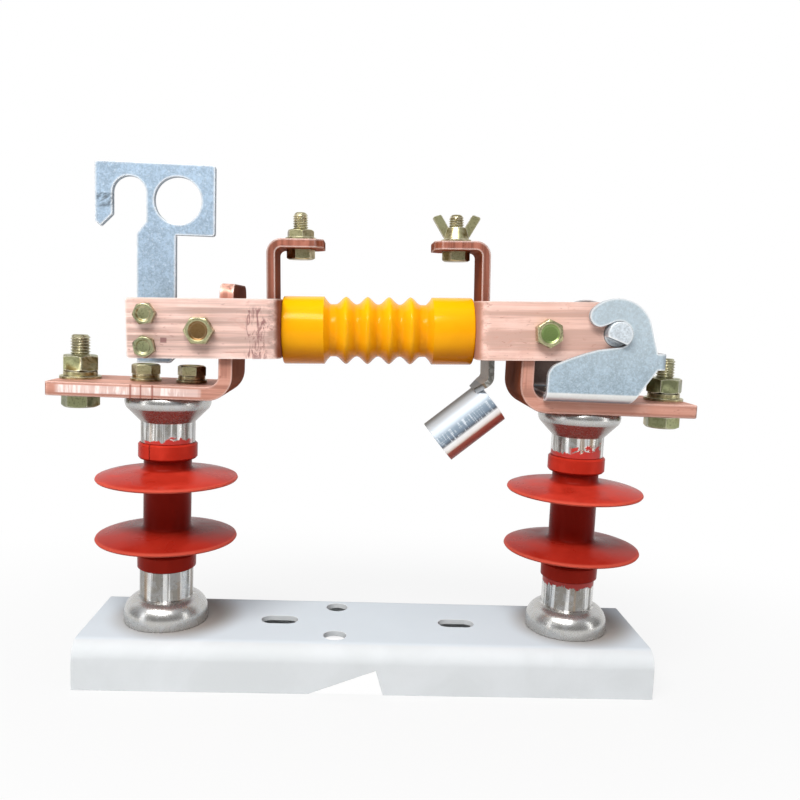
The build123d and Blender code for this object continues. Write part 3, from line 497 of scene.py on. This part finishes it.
def red_silicone(name):
    """Moulded silicone: painted shade on the shank, under the sheds and low down, brighter sheds with lighter
    rims, and a split in one upper collar.
    """
    material, place = new_material(name)
    x, y, z = parts_of(place)
    across = x - place.math("SIGN", x) * (post_x * MM)
    out = place.math("SQRT", across * across + y * y)
    cloud = noise(place, 60.0, 3.0, 0.5, 0.4)
    dust = noise(place, 240.0, 4.0, 0.7)
    colour = mixed(between(cloud, 0.35, 0.68), (0.40, 0.022, 0.011), (0.52, 0.036, 0.020))
    # Painted shade: darker low down on the post.
    low = 1.0 - between(z, 0.070, 0.095)
    colour = mixed(low * 0.55, colour, (0.24, 0.010, 0.005))
    # Painted shade on the shank between the sheds.
    shank = 1.0 - between(out, 0.0128, 0.0150)
    colour = mixed(shank * 0.80, colour, (0.17, 0.005, 0.002))
    # Painted shade on faces turned down, under the sheds.
    under = between(-1.0 * facing(place)[2], 0.2, 0.8)
    colour = mixed(under * 0.70, colour, (0.16, 0.007, 0.004))
    rim = between(out, 0.0352, 0.0367)
    colour = mixed(rim * 0.40, colour, (0.70, 0.14, 0.09))
    colour = mixed(between(dust, 0.62, 0.76) * 0.08, colour, (0.66, 0.24, 0.18))
    wander = noise(stretched(place, 40.0, 40.0, 420.0), 1.0, 3.0) * 0.0016
    split = spot(x + wander, z, collar_split, 0.12, 0.6) * between(-1.0 * y, 0.0, 0.002)
    colour = mixed(split * 0.85, colour, (0.05, 0.004, 0.003))
    roughness = 0.26 + between(cloud, 0.30, 0.75) * 0.14 + rim * 0.12
    height = cloud * 0.4 - split
    return close(material, place, colour, roughness, 0.0, height, 0.15, **silicone_sheen)


def orange_resin(name):
    """Glossy cast resin: a painted glow, yellow towards the top, and painted shade, deeper in its grooves and
    below.
    """
    material, place = new_material(name)
    x, y, z = parts_of(place)
    height = (z - pin_height * MM) - (x - pin_x * MM) * tan(closing_angle)
    out = place.math("SQRT", height * height + y * y)
    cloud = noise(place, 45.0, 3.0, 0.5)
    colour = mixed(between(cloud, 0.30, 0.72), (0.84, 0.355, 0.004), (0.89, 0.40, 0.005))
    # Painted glow: yellower towards the top.
    colour = mixed(between(height, 0.002, 0.0165) * 0.75, colour, (0.91, 0.49, 0.002))
    # Painted shade: deeper below.
    colour = mixed(between(-1.0 * height, 0.005, 0.0160) * 0.85, colour, (0.50, 0.125, 0.002))
    # Painted shade: deeper in the grooves.
    groove = 1.0 - between(out, 0.0142, 0.0168)
    colour = mixed(groove * 0.45, colour, (0.72, 0.23, 0.002))
    speck = between(noise(place, 800.0, 2.0), 0.74, 0.78)
    colour = mixed(speck * 0.20, colour, (0.95, 0.62, 0.20))
    roughness = 0.16 + cloud * 0.10
    return close(material, place, colour, roughness, 0.0, cloud, 0.10, **resin_sheen, **resin_coat)


def grey_paint(name):
    """Pale powder coat: fine orange-peel, cool painted light on the top, thin grime, worn edges with a
    painted highlight and a painted shadow by each foot.
    """
    material, place = new_material(name)
    x, y, _ = parts_of(place)
    peel = noise(place, 900.0, 3.0, 0.5)
    cloud = noise(place, 22.0, 4.0, 0.6, 0.5)
    grime = noise(stretched(place, 120.0, 120.0, 500.0), 1.0, 5.0, 0.7)
    colour = mixed(between(cloud, 0.35, 0.68), (0.61, 0.635, 0.65), (0.655, 0.68, 0.70))
    # Cool painted light on the top face.
    top_face = between(facing(place)[2], 0.90, 0.99)
    colour = mixed(top_face * 0.7, colour, (0.60, 0.665, 0.725))
    colour = mixed(between(grime, 0.66, 0.80) * 0.12, colour, (0.42, 0.40, 0.36))
    # Edges paler: worn, with a painted highlight.
    edge_wear_and_highlight = edge_mask(place, 0.9, 3.0)
    colour = mixed(edge_wear_and_highlight * 0.45, colour, (0.88, 0.89, 0.89))
    # A painted shadow on the top face, right of and behind each post's foot.
    foot_shadow = 0.0
    shadow_shape = foot_shadow_shape
    for foot_x in (-post_x, post_x):
        across, behind = x - (foot_x + shadow_shape["shift_x"]) * MM, y - shadow_shape["shift_y"] * MM
        ring = place.math("SQRT", across ** 2.0 + behind ** 2.0)
        foot_shadow = foot_shadow + (1.0 - between(ring, shadow_shape["core"] * MM, shadow_shape["reach"] * MM))
    colour = mixed(foot_shadow * top_face * 0.80, colour, (0.20, 0.155, 0.120))
    return close(material, place, colour, 0.60 + peel * 0.12, 0.0, peel, 0.03, Specular_IOR_Level=0.25)


def fibre_rod(name):
    """Pale resin-bonded fibre of the hidden cores."""
    material, place = new_material(name)
    strands = noise(stretched(place, 700.0, 700.0, 12.0), 1.0, 3.0)
    colour = mixed(between(strands, 0.35, 0.65), (0.50, 0.46, 0.32), (0.66, 0.62, 0.47))
    return close(material, place, colour, 0.45 + strands * 0.15, 0.0, strands, 0.02)


# Modelling

def only(*pieces):
    """Leaves just these objects selected, the first of them active."""
    bpy.ops.object.select_all(action="DESELECT")
    for piece in pieces:
        piece.select_set(True)
    bpy.context.view_layer.objects.active = pieces[0]


@contextmanager
def editing(piece):
    """Edit mode on one object, with all of its mesh selected."""
    only(piece)
    bpy.ops.object.mode_set(mode="EDIT")
    bpy.ops.mesh.select_all(action="SELECT")
    yield
    bpy.ops.object.mode_set(mode="OBJECT")


def apply(piece, kind, **settings):
    """Adds a modifier with these settings and applies it."""
    only(piece)
    modifier = piece.modifiers.new(kind, kind)
    for name, value in settings.items():
        setattr(modifier, name, value)
    bpy.ops.object.modifier_apply(modifier=modifier.name)


def smoothed(piece, angle):
    """Shades a piece smooth, except over edges sharper than this many degrees."""
    only(piece)
    bpy.ops.object.shade_smooth_by_angle(angle=radians(angle))


def break_edges(piece, width, segments=2):
    """Rounds every sharp edge by this many millimetres and shades the piece smooth."""
    apply(
        piece,
        "BEVEL",
        width=width * MM,
        segments=segments,
        limit_method="ANGLE",
        angle_limit=radians(32.0),
        use_clamp_overlap=True,
        miter_outer="MITER_ARC",
    )
    smoothed(piece, 50.0)
    apply(piece, "WEIGHTED_NORMAL", keep_sharp=True, weight=60)


def turned(name, outline, steps):
    """A solid spun about Z from an outline of (radius, height) points in millimetres."""
    mesh = bpy.data.meshes.new(name)
    edges = [(i, i + 1) for i in range(len(outline) - 1)]
    mesh.from_pydata([(r * MM, 0.0, z * MM) for r, z in outline], edges, [])
    piece = bpy.data.objects.new(name, mesh)
    bpy.context.scene.collection.objects.link(piece)
    with editing(piece):
        bpy.ops.mesh.spin(steps=steps, angle=2 * pi, center=(0, 0, 0), axis=(0, 0, 1))
        bpy.ops.mesh.select_all(action="SELECT")
        bpy.ops.mesh.remove_doubles(threshold=0.002 * MM)
        bpy.ops.mesh.normals_make_consistent(inside=False)
    smoothed(piece, 40.0)
    return piece


def settled(piece, placing):
    """Moves a piece modelled at the origin to its place, in its mesh."""
    piece.data.transform(placing)
    return piece


def copied(piece, placing):
    """A copy with its own mesh, at another place."""
    twin = piece.copy()
    twin.data = piece.data.copy()
    bpy.context.scene.collection.objects.link(twin)
    return settled(twin, placing)


def joined(name, pieces):
    """One object from several."""
    only(*pieces)
    if len(pieces) > 1:
        bpy.ops.object.join()
    pieces[0].name = name
    return pieces[0]


def spread(name, model, placings):
    """Copies of one model at several places, joined, with the model itself removed."""
    pieces = [copied(model, placing) for placing in placings]
    bpy.data.objects.remove(model)
    return joined(name, pieces)


def cut(piece, tool, operation):
    """Cuts a piece with another and removes the tool."""
    apply(piece, "BOOLEAN", object=tool, operation=operation, solver="EXACT")
    bpy.data.objects.remove(tool)


def hexagon(name, flats, height, dished=False, both_ends=False, bore=0.0, slope=28.0):
    """A forged hexagon that stands on the origin, its corners cut by cones of this slope in degrees."""
    corner = flats / 2 / cos(pi / 6)
    middle = (0, 0, height / 2 * MM)
    bpy.ops.mesh.primitive_cylinder_add(vertices=6, radius=corner * MM, depth=height * MM, location=middle)
    piece = bpy.context.object
    piece.name = name
    only(piece)
    bpy.ops.object.transform_apply()
    face_radius = flats / 2 * 0.95
    fall = tan(radians(slope))
    if both_ends:
        wide = face_radius + height / 2 / fall
        outline = [(0, 0), (face_radius, 0), (wide, height / 2), (face_radius, height), (0, height)]
    else:
        outline = [(0, 0), (face_radius + height / fall, 0), (face_radius, height), (0, height)]
    cut(piece, turned(name + "_cone", outline, 60), "INTERSECT")
    if dished:
        dish = flats / 2 * 0.78
        above = height + 3.0
        bowl = [(0, height - 0.9), (dish - 1.1, height - 0.8), (dish, height)]
        bowl += [(dish + 0.4, above), (0, above)]
        cut(piece, turned(name + "_dish", bowl, 48), "DIFFERENCE")
    if bore:
        hole = [(0, -1), (bore, -1), (bore, height + 1), (0, height + 1), (0, -1)]
        cut(piece, turned(name + "_bore", hole, 36), "DIFFERENCE")
    break_edges(piece, 0.25)
    return piece


def threaded(name, size, start, end, thread_start, domed=False):
    """A rod along Z, plain from start to thread_start and cut with a helical thread from there to its end."""
    radius, pitch = size["radius"], size["pitch"]
    rows = int((end - thread_start) / pitch * 8)
    heights = [thread_start + (end - thread_start) * row / rows for row in range(rows + 1)]
    outline = [(0, start), (radius, start)] + [(radius, height) for height in heights] + [(0, end)]
    piece = turned(name, outline, 40)
    depth = 0.58 * pitch
    dome = 2.6
    for vertex in piece.data.vertices:
        x, y, z = vertex.co / MM
        out = hypot(x, y)
        if out > radius / 2 and z >= thread_start - 0.01:
            phase = (z / pitch - atan2(y, x) / (2 * pi)) % 1.0
            groove = max(0.0, min(1.0, 1.35 * (1 - abs(2 * phase - 1)) - 0.12))
            run_in = min(1.0, (z - thread_start) / pitch)
            past = max(0.0, z - (end - (dome if domed else 0.8 * pitch)))
            rounded = radius * (1.0 - 0.42 * (past / dome) ** 2) if domed else radius - past * 1.2
            allowed = min(radius - depth * groove * run_in, rounded)
            vertex.co.x, vertex.co.y = x / out * allowed * MM, y / out * allowed * MM
    smoothed(piece, 50.0)
    return piece


def screw(name, size, shank, thread_start, dished=True, domed=False, slope=28.0):
    """A hexagon screw with its seat at the origin, its head above and its threaded shank below."""
    head = hexagon(name + "_head", size["flats"], size["head"], dished, slope=slope)
    shaft = threaded(name + "_shaft", size, -0.3, shank, thread_start, domed)
    settled(shaft, Matrix.Rotation(pi, 4, "X"))
    return joined(name, [head, shaft])


def dressed(node, width, segments):
    """A copy of a CAD node with its faces merged, its edges broken and its curves shaded smooth."""
    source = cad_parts[node]
    piece = source.copy()
    piece.data = source.data.copy()
    piece.name = node + "_finished"
    bpy.context.scene.collection.objects.link(piece)
    with editing(piece):
        bpy.ops.mesh.remove_doubles(threshold=0.001 * MM)
        bpy.ops.mesh.dissolve_limited(angle_limit=radians(0.5))
    break_edges(piece, width, segments)
    return piece


def show(piece, node, body, material):
    """Puts a finished piece in the place of a CAD node, on that node's body."""
    piece.data.materials.clear()
    piece.data.materials.append(material)
    for face in piece.data.polygons:
        face.material_index = 0
    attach(piece, body)
    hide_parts(node)


def show_dressed(node, width, body, material, segments=2):
    """Puts a dressed copy of a CAD node in that node's place."""
    show(dressed(node, width, segments), node, body, material)


def show_spread(node, model, placings, body, material):
    """Puts copies of one model in the place of a CAD node."""
    show(spread(node + "_finished", model, placings), node, body, material)


# Materials

blade_finish = blade_copper("blade_copper")
bar_finish = bar_copper("bar_copper")
bracket_finish = bracket_copper("bracket_copper")
hook_finish = grey_zinc("hook_plate_zinc", [(hook_scratch, 0.8)])
ear_finish = grey_zinc("hinge_zinc", tone=(0.37, 0.47, 0.55), inner=0.85)
pin_finish = grey_zinc("pin_zinc", tone=(0.62, 0.68, 0.73))
gold_finish = yellow_zinc("gold_zinc", 0.15)
clamp_dishes = [
    (clamp_places["left"], 4.9, (0.20, 0.085, 0.018)),
    (clamp_places["right"], 4.9, (0.20, 0.32, 0.085)),
]
clamp_finish = yellow_zinc("clamp_zinc", 0.2, clamp_dishes)
olive_finish = yellow_zinc("olive_zinc", 0.55)
resin_finish = orange_resin("orange_resin")
silicone_finish = red_silicone("red_silicone")
paint_finish = grey_paint("grey_paint")
tube_finish = tube_plate("socket_plate")
left_smears = [(-9.0, 10.0, 123.0, 2.6), (2.0, 12.0, 123.0, 4.0)]
right_smears = [(-6.0, 9.0, 123.0, 8.0), (-14.5, -7.0, 123.0, 4.0), (-14.5, 12.0, 54.4, 5.0)]
left_fitting_finish = bright_plate("left_fitting_plate", left_smears)
right_fitting_finish = bright_plate("right_fitting_plate", right_smears)
core_finish = fibre_rod("fibre_rod")


# Base and posts

show_dressed("base_channel", 0.35, "frame", paint_finish)

head_seat_z = deck_height - base_sheet - flat_washer
base_screw = screw("base_screws_finished", M12, flat_washer + base_sheet + 14.0, 4.0)
placings = [at(x, 0, head_seat_z, "-Z") for x in (-post_x, post_x)]
show_spread("base_screws", base_screw, placings, "frame", gold_finish)
show_dressed("base_washers", 0.2, "frame", gold_finish)

for side, fitting_finish in (("left", left_fitting_finish), ("right", right_fitting_finish)):
    for part, edge in (("foot", 0.9), ("head", 0.9)):
        node = f"{side}_post_{part}"
        show_dressed(node, edge, "frame", fitting_finish, segments=3)
    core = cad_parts[f"{side}_post_core"]
    core.data.materials.clear()
    core.data.materials.append(core_finish)


def sheath_outline():
    """Half outline of the moulded sheath, up from its lower collar and back down its bore."""
    bore, shank, collar, rim_out = 8.15, 12.5, 15.4, 37.0
    foot, top = 29.4, 97.8
    collar_height, rim, crown = 8.6, 2.4, 3.6
    lower = foot + collar_height
    points = [(bore, foot), (collar - 0.5, foot), (collar, foot + 0.5), (collar + 0.1, lower - 1.2)]
    points += [(collar - 0.8, lower - 0.2), (shank + 0.6, lower)]
    for shed in (44.9, 77.3):
        points += [(shank, shed - 3.0), (shank + 0.7, shed - 1.4), (shank + 2.6, shed - 0.7)]
        points += [(24.0, shed - 0.5), (rim_out - 2.2, shed - 0.05), (rim_out - 0.5, shed + 0.35)]
        points += [(rim_out, shed + 1.1), (rim_out - 0.35, shed + 1.9), (rim_out - 1.6, shed + rim)]
        rim_top, crown_top = shed + rim, shed + rim + crown
        points += [(28.0, rim_top + 1.5), (20.0, rim_top + 2.6), (shank + 2.0, crown_top - 0.2)]
        points += [(shank + 0.6, crown_top + 0.5), (shank, crown_top + 1.8)]
    upper = top - collar_height
    points += [(shank, upper - 0.8), (shank + 0.8, upper), (collar - 0.8, upper + 0.1), (collar, upper + 1.0)]
    points += [(collar, top - 0.9), (collar - 0.9, top), (bore, top), (bore, foot)]
    return points


for side, x in (("left", -post_x), ("right", post_x)):
    sheath = turned(f"{side}_post_sheath_finished", sheath_outline(), 112)
    smoothed(sheath, 75.0)
    settled(sheath, at(x, 0, deck_height))
    show(sheath, f"{side}_post_sheath", "frame", silicone_finish)

# Bars, with their screws and terminal studs

for side in ("left", "right"):
    show_dressed(f"{side}_contact_bar", 0.9, "frame", bar_finish, segments=3)

bar_seat_height = flat_washer + spring_washer
bar_screw_seats = [
    (x + offset, seat + bar_seat_height)
    for x, seat in ((-post_x, bar_top), (post_x, bar_top + bracket_sheet))
    for offset in (-bar_screw_half_spacing, bar_screw_half_spacing)
]
bar_screw = screw("bar_screws_finished", M8, bar_seat_height + 15.0, 6.0)
placings = [at(x, 0, z, turn=turn) for (x, z), turn in zip(bar_screw_seats, (36, 30, 24, 33))]
show_spread("bar_screws", bar_screw, placings, "frame", gold_finish)

stud = screw("terminal_bolts_finished", M10, flat_washer + 7.0 + 23.0, flat_washer + 6.0, dished=False)
placings = [at(x, 0, bar_floor - flat_washer, "-Z", turn) for x, turn in ((-terminal_x, 22), (terminal_x, 6))]
show_spread("terminal_bolts", stud, placings, "frame", olive_finish)
nut = hexagon("terminal_nuts_finished", M10["flats"], M10["nut"], both_ends=True, bore=M10["radius"] - 0.1)
terminal_nut_seat = bar_top + flat_washer + terminal_spring
placings = [at(x, 0, terminal_nut_seat, turn=turn) for x, turn in ((-terminal_x, 20), (terminal_x, 28))]
show_spread("terminal_nuts", nut, placings, "frame", olive_finish)

for node, edge in (
    ("bar_flat_washers", 0.3),
    ("bar_spring_washers", 0.25),
    ("terminal_washers", 0.3),
    ("terminal_spring_washers", 0.3),
):
    show_dressed(node, edge, "frame", gold_finish)

show_dressed("hinge_bracket", 0.35, "frame", ear_finish)

# Blades, insulator and fuse brackets

for side in ("left", "right"):
    show_dressed(f"{side}_blade_strap", 0.5, "blade_carrier", blade_finish, segments=3)
    node = f"{side}_fuse_bracket"
    show_dressed(node, 0.8, "blade_carrier", bracket_finish, segments=3)


def insulator_outline():
    """Half outline of the rod insulator: two plain bands with four round crests between them."""
    rim, radius, valley = 0.9, 17.9, 13.9
    band_length, crests = 21.5, 4
    bore, bore_depth = 4.15, 16.0
    points = [(0.0, bore_depth), (bore, bore_depth), (bore, 0.0)]
    for step in range(5):
        angle = pi / 2 * step / 4
        points.append((radius - rim + rim * sin(angle), rim - rim * cos(angle)))
    pitch = (insulator_length - 2 * band_length) / (crests + 1)
    steps = 18
    for number in range(crests + 1):
        for step in range(steps + (number == crests)):
            share = step / steps
            dip = (0.5 - 0.5 * cos(2 * pi * share)) ** 0.85
            if number == 0 and share < 0.5 or number == crests and share > 0.5:
                dip = min(1.0, 1.25 * abs(sin(pi * share)) ** 0.9)
            points.append((radius - (radius - valley) * dip, band_length + pitch * (number + share)))
    for step in range(5):
        angle = pi / 2 * step / 4
        points.append((radius - rim + rim * cos(angle), insulator_length - rim + rim * sin(angle)))
    far_depth = insulator_length - bore_depth
    return points + [(bore, insulator_length), (bore, far_depth), (0.0, far_depth)]


rod = turned("insulator_finished", insulator_outline(), 96)
smoothed(rod, 60.0)
settled(rod, at(-insulator_start, 0, 0, "-X", on=carrier))
show(rod, "insulator", "blade_carrier", resin_finish)

fuse_stud = screw("fuse_bolts_finished", M8, angle_thickness + 14.5, 2.0, dished=False, domed=True)
placings = [at(x, 0, arm_floor, "-Z", turn, carrier) for x, turn in ((left_stud_x, 18), (right_stud_x, 26))]
show_spread("fuse_bolts", fuse_stud, placings, "blade_carrier", gold_finish)
fuse_nut = hexagon("fuse_nut_finished", M8["flats"], thin_nut, bore=M8["radius"] - 0.1, slope=38.0)
arm_seat = arm_floor + angle_thickness + flat_washer
settled(fuse_nut, at(left_stud_x, 0, arm_seat, turn=12, on=carrier))
show(fuse_nut, "fuse_nut", "blade_carrier", gold_finish)
show_dressed("fuse_washers", 0.3, "blade_carrier", gold_finish)
show_dressed("wing_nut", 0.45, "blade_carrier", gold_finish, segments=3)

# Hook plate and the screws through the blades

show_dressed("hook_eye_plate", 0.5, "blade_carrier", hook_finish, segments=3)
plate_screw = screw("plate_screws_finished", M6, 2 * blade_outer + M6["nut"] + 3.0, 20.0, slope=42.0)
placings = [at(x, -blade_outer, z, "-Y", turn, carrier) for (x, z), turn in zip(plate_screw_points, (10, 35))]
show_spread("plate_screws", plate_screw, placings, "blade_carrier", olive_finish)
plate_nut = hexagon("plate_nuts_finished", M6["flats"], M6["nut"], both_ends=True, bore=M6["radius"] - 0.1)
placings = [at(x, blade_outer, z, "+Y", turn, carrier) for (x, z), turn in zip(plate_screw_points, (25, 50))]
show_spread("plate_nuts", plate_nut, placings, "blade_carrier", olive_finish)
show_dressed("plate_spacers", 0.3, "blade_carrier", gold_finish)

clamp_shank = 2 * blade_outer + flat_washer + spring_washer + M8["nut"] + 1.0
clamp = screw("clamp_bolts_finished", M8, clamp_shank, 40.0)
placings = [
    at(x, -blade_outer, 0, "-Y", turn, carrier) for x, turn in ((left_clamp_x, 30), (right_clamp_x, 4))
]
show_spread("clamp_bolts", clamp, placings, "blade_carrier", clamp_finish)
clamp_nut = hexagon("clamp_nuts_finished", M8["flats"], M8["nut"], both_ends=True, bore=M8["radius"] - 0.1)
clamp_nut_seat = blade_outer + flat_washer + spring_washer
placings = [
    at(x, clamp_nut_seat, 0, "+Y", turn, carrier) for x, turn in ((left_clamp_x, 12), (right_clamp_x, 42))
]
show_spread("clamp_nuts", clamp_nut, placings, "blade_carrier", gold_finish)
show_dressed("clamp_washers", 0.3, "blade_carrier", gold_finish)
show_dressed("clamp_spring_washers", 0.25, "blade_carrier", gold_finish)

show_dressed("hinge_pin", 0.4, "blade_carrier", pin_finish)
show_dressed("stick_socket", 0.4, "blade_carrier", tube_finish, segments=3)

web_screws = []
for x, way, turn in ((left_web_screw_x, "-X", 15), (right_web_screw_x, "+X", 40)):
    web_screw = screw("web_screws_finished", M8, 18.0, 6.0)
    web_screws.append(settled(web_screw, at(x, 0, 0, way, turn, carrier)))
show(joined("web_screws_finished", web_screws), "web_screws", "blade_carrier", gold_finish)


# Floor, lamps and camera

def seen_directly(place):
    """1 on rays that see the backdrop itself: from the camera, a mirror surface or through glass."""
    kinds = ("Camera", "Glossy", "Transmission")
    paths = [place.node("LightPath", output=f"Is {kind} Ray") for kind in kinds]
    return place.math("MAXIMUM", place.math("MAXIMUM", paths[0], paths[1]), paths[2])


def floor_material():
    """Matt floor with a faint shadow, white away from the object and inside the base's footprint."""
    material, place = new_material("pale_floor")
    x, y, _ = parts_of(place)
    away = place.math("SQRT", x * x * 0.4 + y * y)
    under = 1.0 - between(abs(x), (base_half_length - 4.0) * MM, base_half_length * MM)
    under = under * (1.0 - between(abs(y), (base_half_width - 2.0) * MM, base_half_width * MM))
    fade = place.math("MAXIMUM", between(away, 0.05, 0.30), under)
    white = seen_directly(place) * (0.84 + fade * 0.16)
    matt = place.node("BsdfDiffuse", {"Color": (0.60, 0.60, 0.60)})
    glow = place.node("Emission", {"Color": (1.0, 1.0, 1.0), "Strength": 1.0})
    surface = place.node("MixShader", {0: white, 1: matt, 2: glow})
    output = place.tree.nodes.new("ShaderNodeOutputMaterial")
    place.tree.links.new(surface.output, output.inputs["Surface"])
    return material


bpy.ops.mesh.primitive_plane_add(size=6.0, location=(0, 0, 0))
floor = bpy.context.object
floor.name = "floor"
floor.data.materials.append(floor_material())


def lamp(name, place, target, width, height, power, colour=(1.0, 1.0, 1.0)):
    """A rectangular area lamp, at a place in metres, aimed at a target."""
    bpy.ops.object.light_add(type="AREA", location=place)
    made = bpy.context.object
    made.name = name
    made.data.shape = "RECTANGLE"
    made.data.size, made.data.size_y = width, height
    made.data.energy = power
    made.data.color = colour
    made.rotation_euler = (Vector(target) - Vector(place)).to_track_quat("-Z", "Y").to_euler()
    return made


lamp("key_lamp", (-0.28, -0.72, 1.02), (0, 0, 0.13), 0.90, 0.34, 17.0, (1.0, 0.99, 0.97))
lamp("left_strip", (-0.85, -0.55, 0.30), (0, 0, 0.13), 0.12, 0.70, 1.1)
lamp("right_strip", (0.90, -0.45, 0.30), (0, 0, 0.13), 0.12, 0.70, 1.1)

world = bpy.data.worlds.new("studio")
bpy.context.scene.world = world
world.use_nodes = True
world.node_tree.nodes.clear()
sky = Socket(world.node_tree, world.node_tree.nodes.new("ShaderNodeTexCoord").outputs["Generated"])
_, sky_y, sky_z = parts_of(sky)
behind = between(sky_y, 0.05, 0.45)
above = between(sky_z, 0.15, 0.85)
room = mixed(above, (0.09, 0.09, 0.095), (0.42, 0.43, 0.45))
room = mixed(behind * 0.30, room, (0.60, 0.60, 0.60))
# White to the camera all round, and to mirror and glass rays only towards the side behind the object
camera_ray = sky.node("LightPath", output="Is Camera Ray")
backdrop = sky.math("MAXIMUM", camera_ray, seen_directly(sky) * behind)
seen = mixed(backdrop, room, (1.0, 1.0, 1.0))
background = sky.node("Background", {"Color": seen, "Strength": 1.0})
world_output = world.node_tree.nodes.new("ShaderNodeOutputWorld")
world.node_tree.links.new(background.output, world_output.inputs["Surface"])

# Camera, where the photograph was taken from
camera_place = Vector((-10.9, -423.1, 197.2)) * MM
yaw, pitch, roll = radians(3.14), radians(6.40), radians(2.49)
focal_share = 788.6 / 800
forward = Vector((sin(yaw) * cos(pitch), cos(yaw) * cos(pitch), -sin(pitch)))
level_right = Vector((cos(yaw), -sin(yaw), 0.0))
level_up = level_right.cross(forward)
right = cos(roll) * level_right + sin(roll) * level_up
up = cos(roll) * level_up - sin(roll) * level_right

camera_data = bpy.data.cameras.new("camera")
camera_data.sensor_width = 36.0
camera_data.lens = 36.0 * focal_share
camera_data.clip_start = 0.01
camera = bpy.data.objects.new("camera", camera_data)
bpy.context.scene.collection.objects.link(camera)
camera.matrix_world = Matrix.Translation(camera_place) @ Matrix((right, up, -forward)).transposed().to_4x4()
bpy.context.scene.camera = camera
bpy.context.scene.view_settings.view_transform = "Standard"
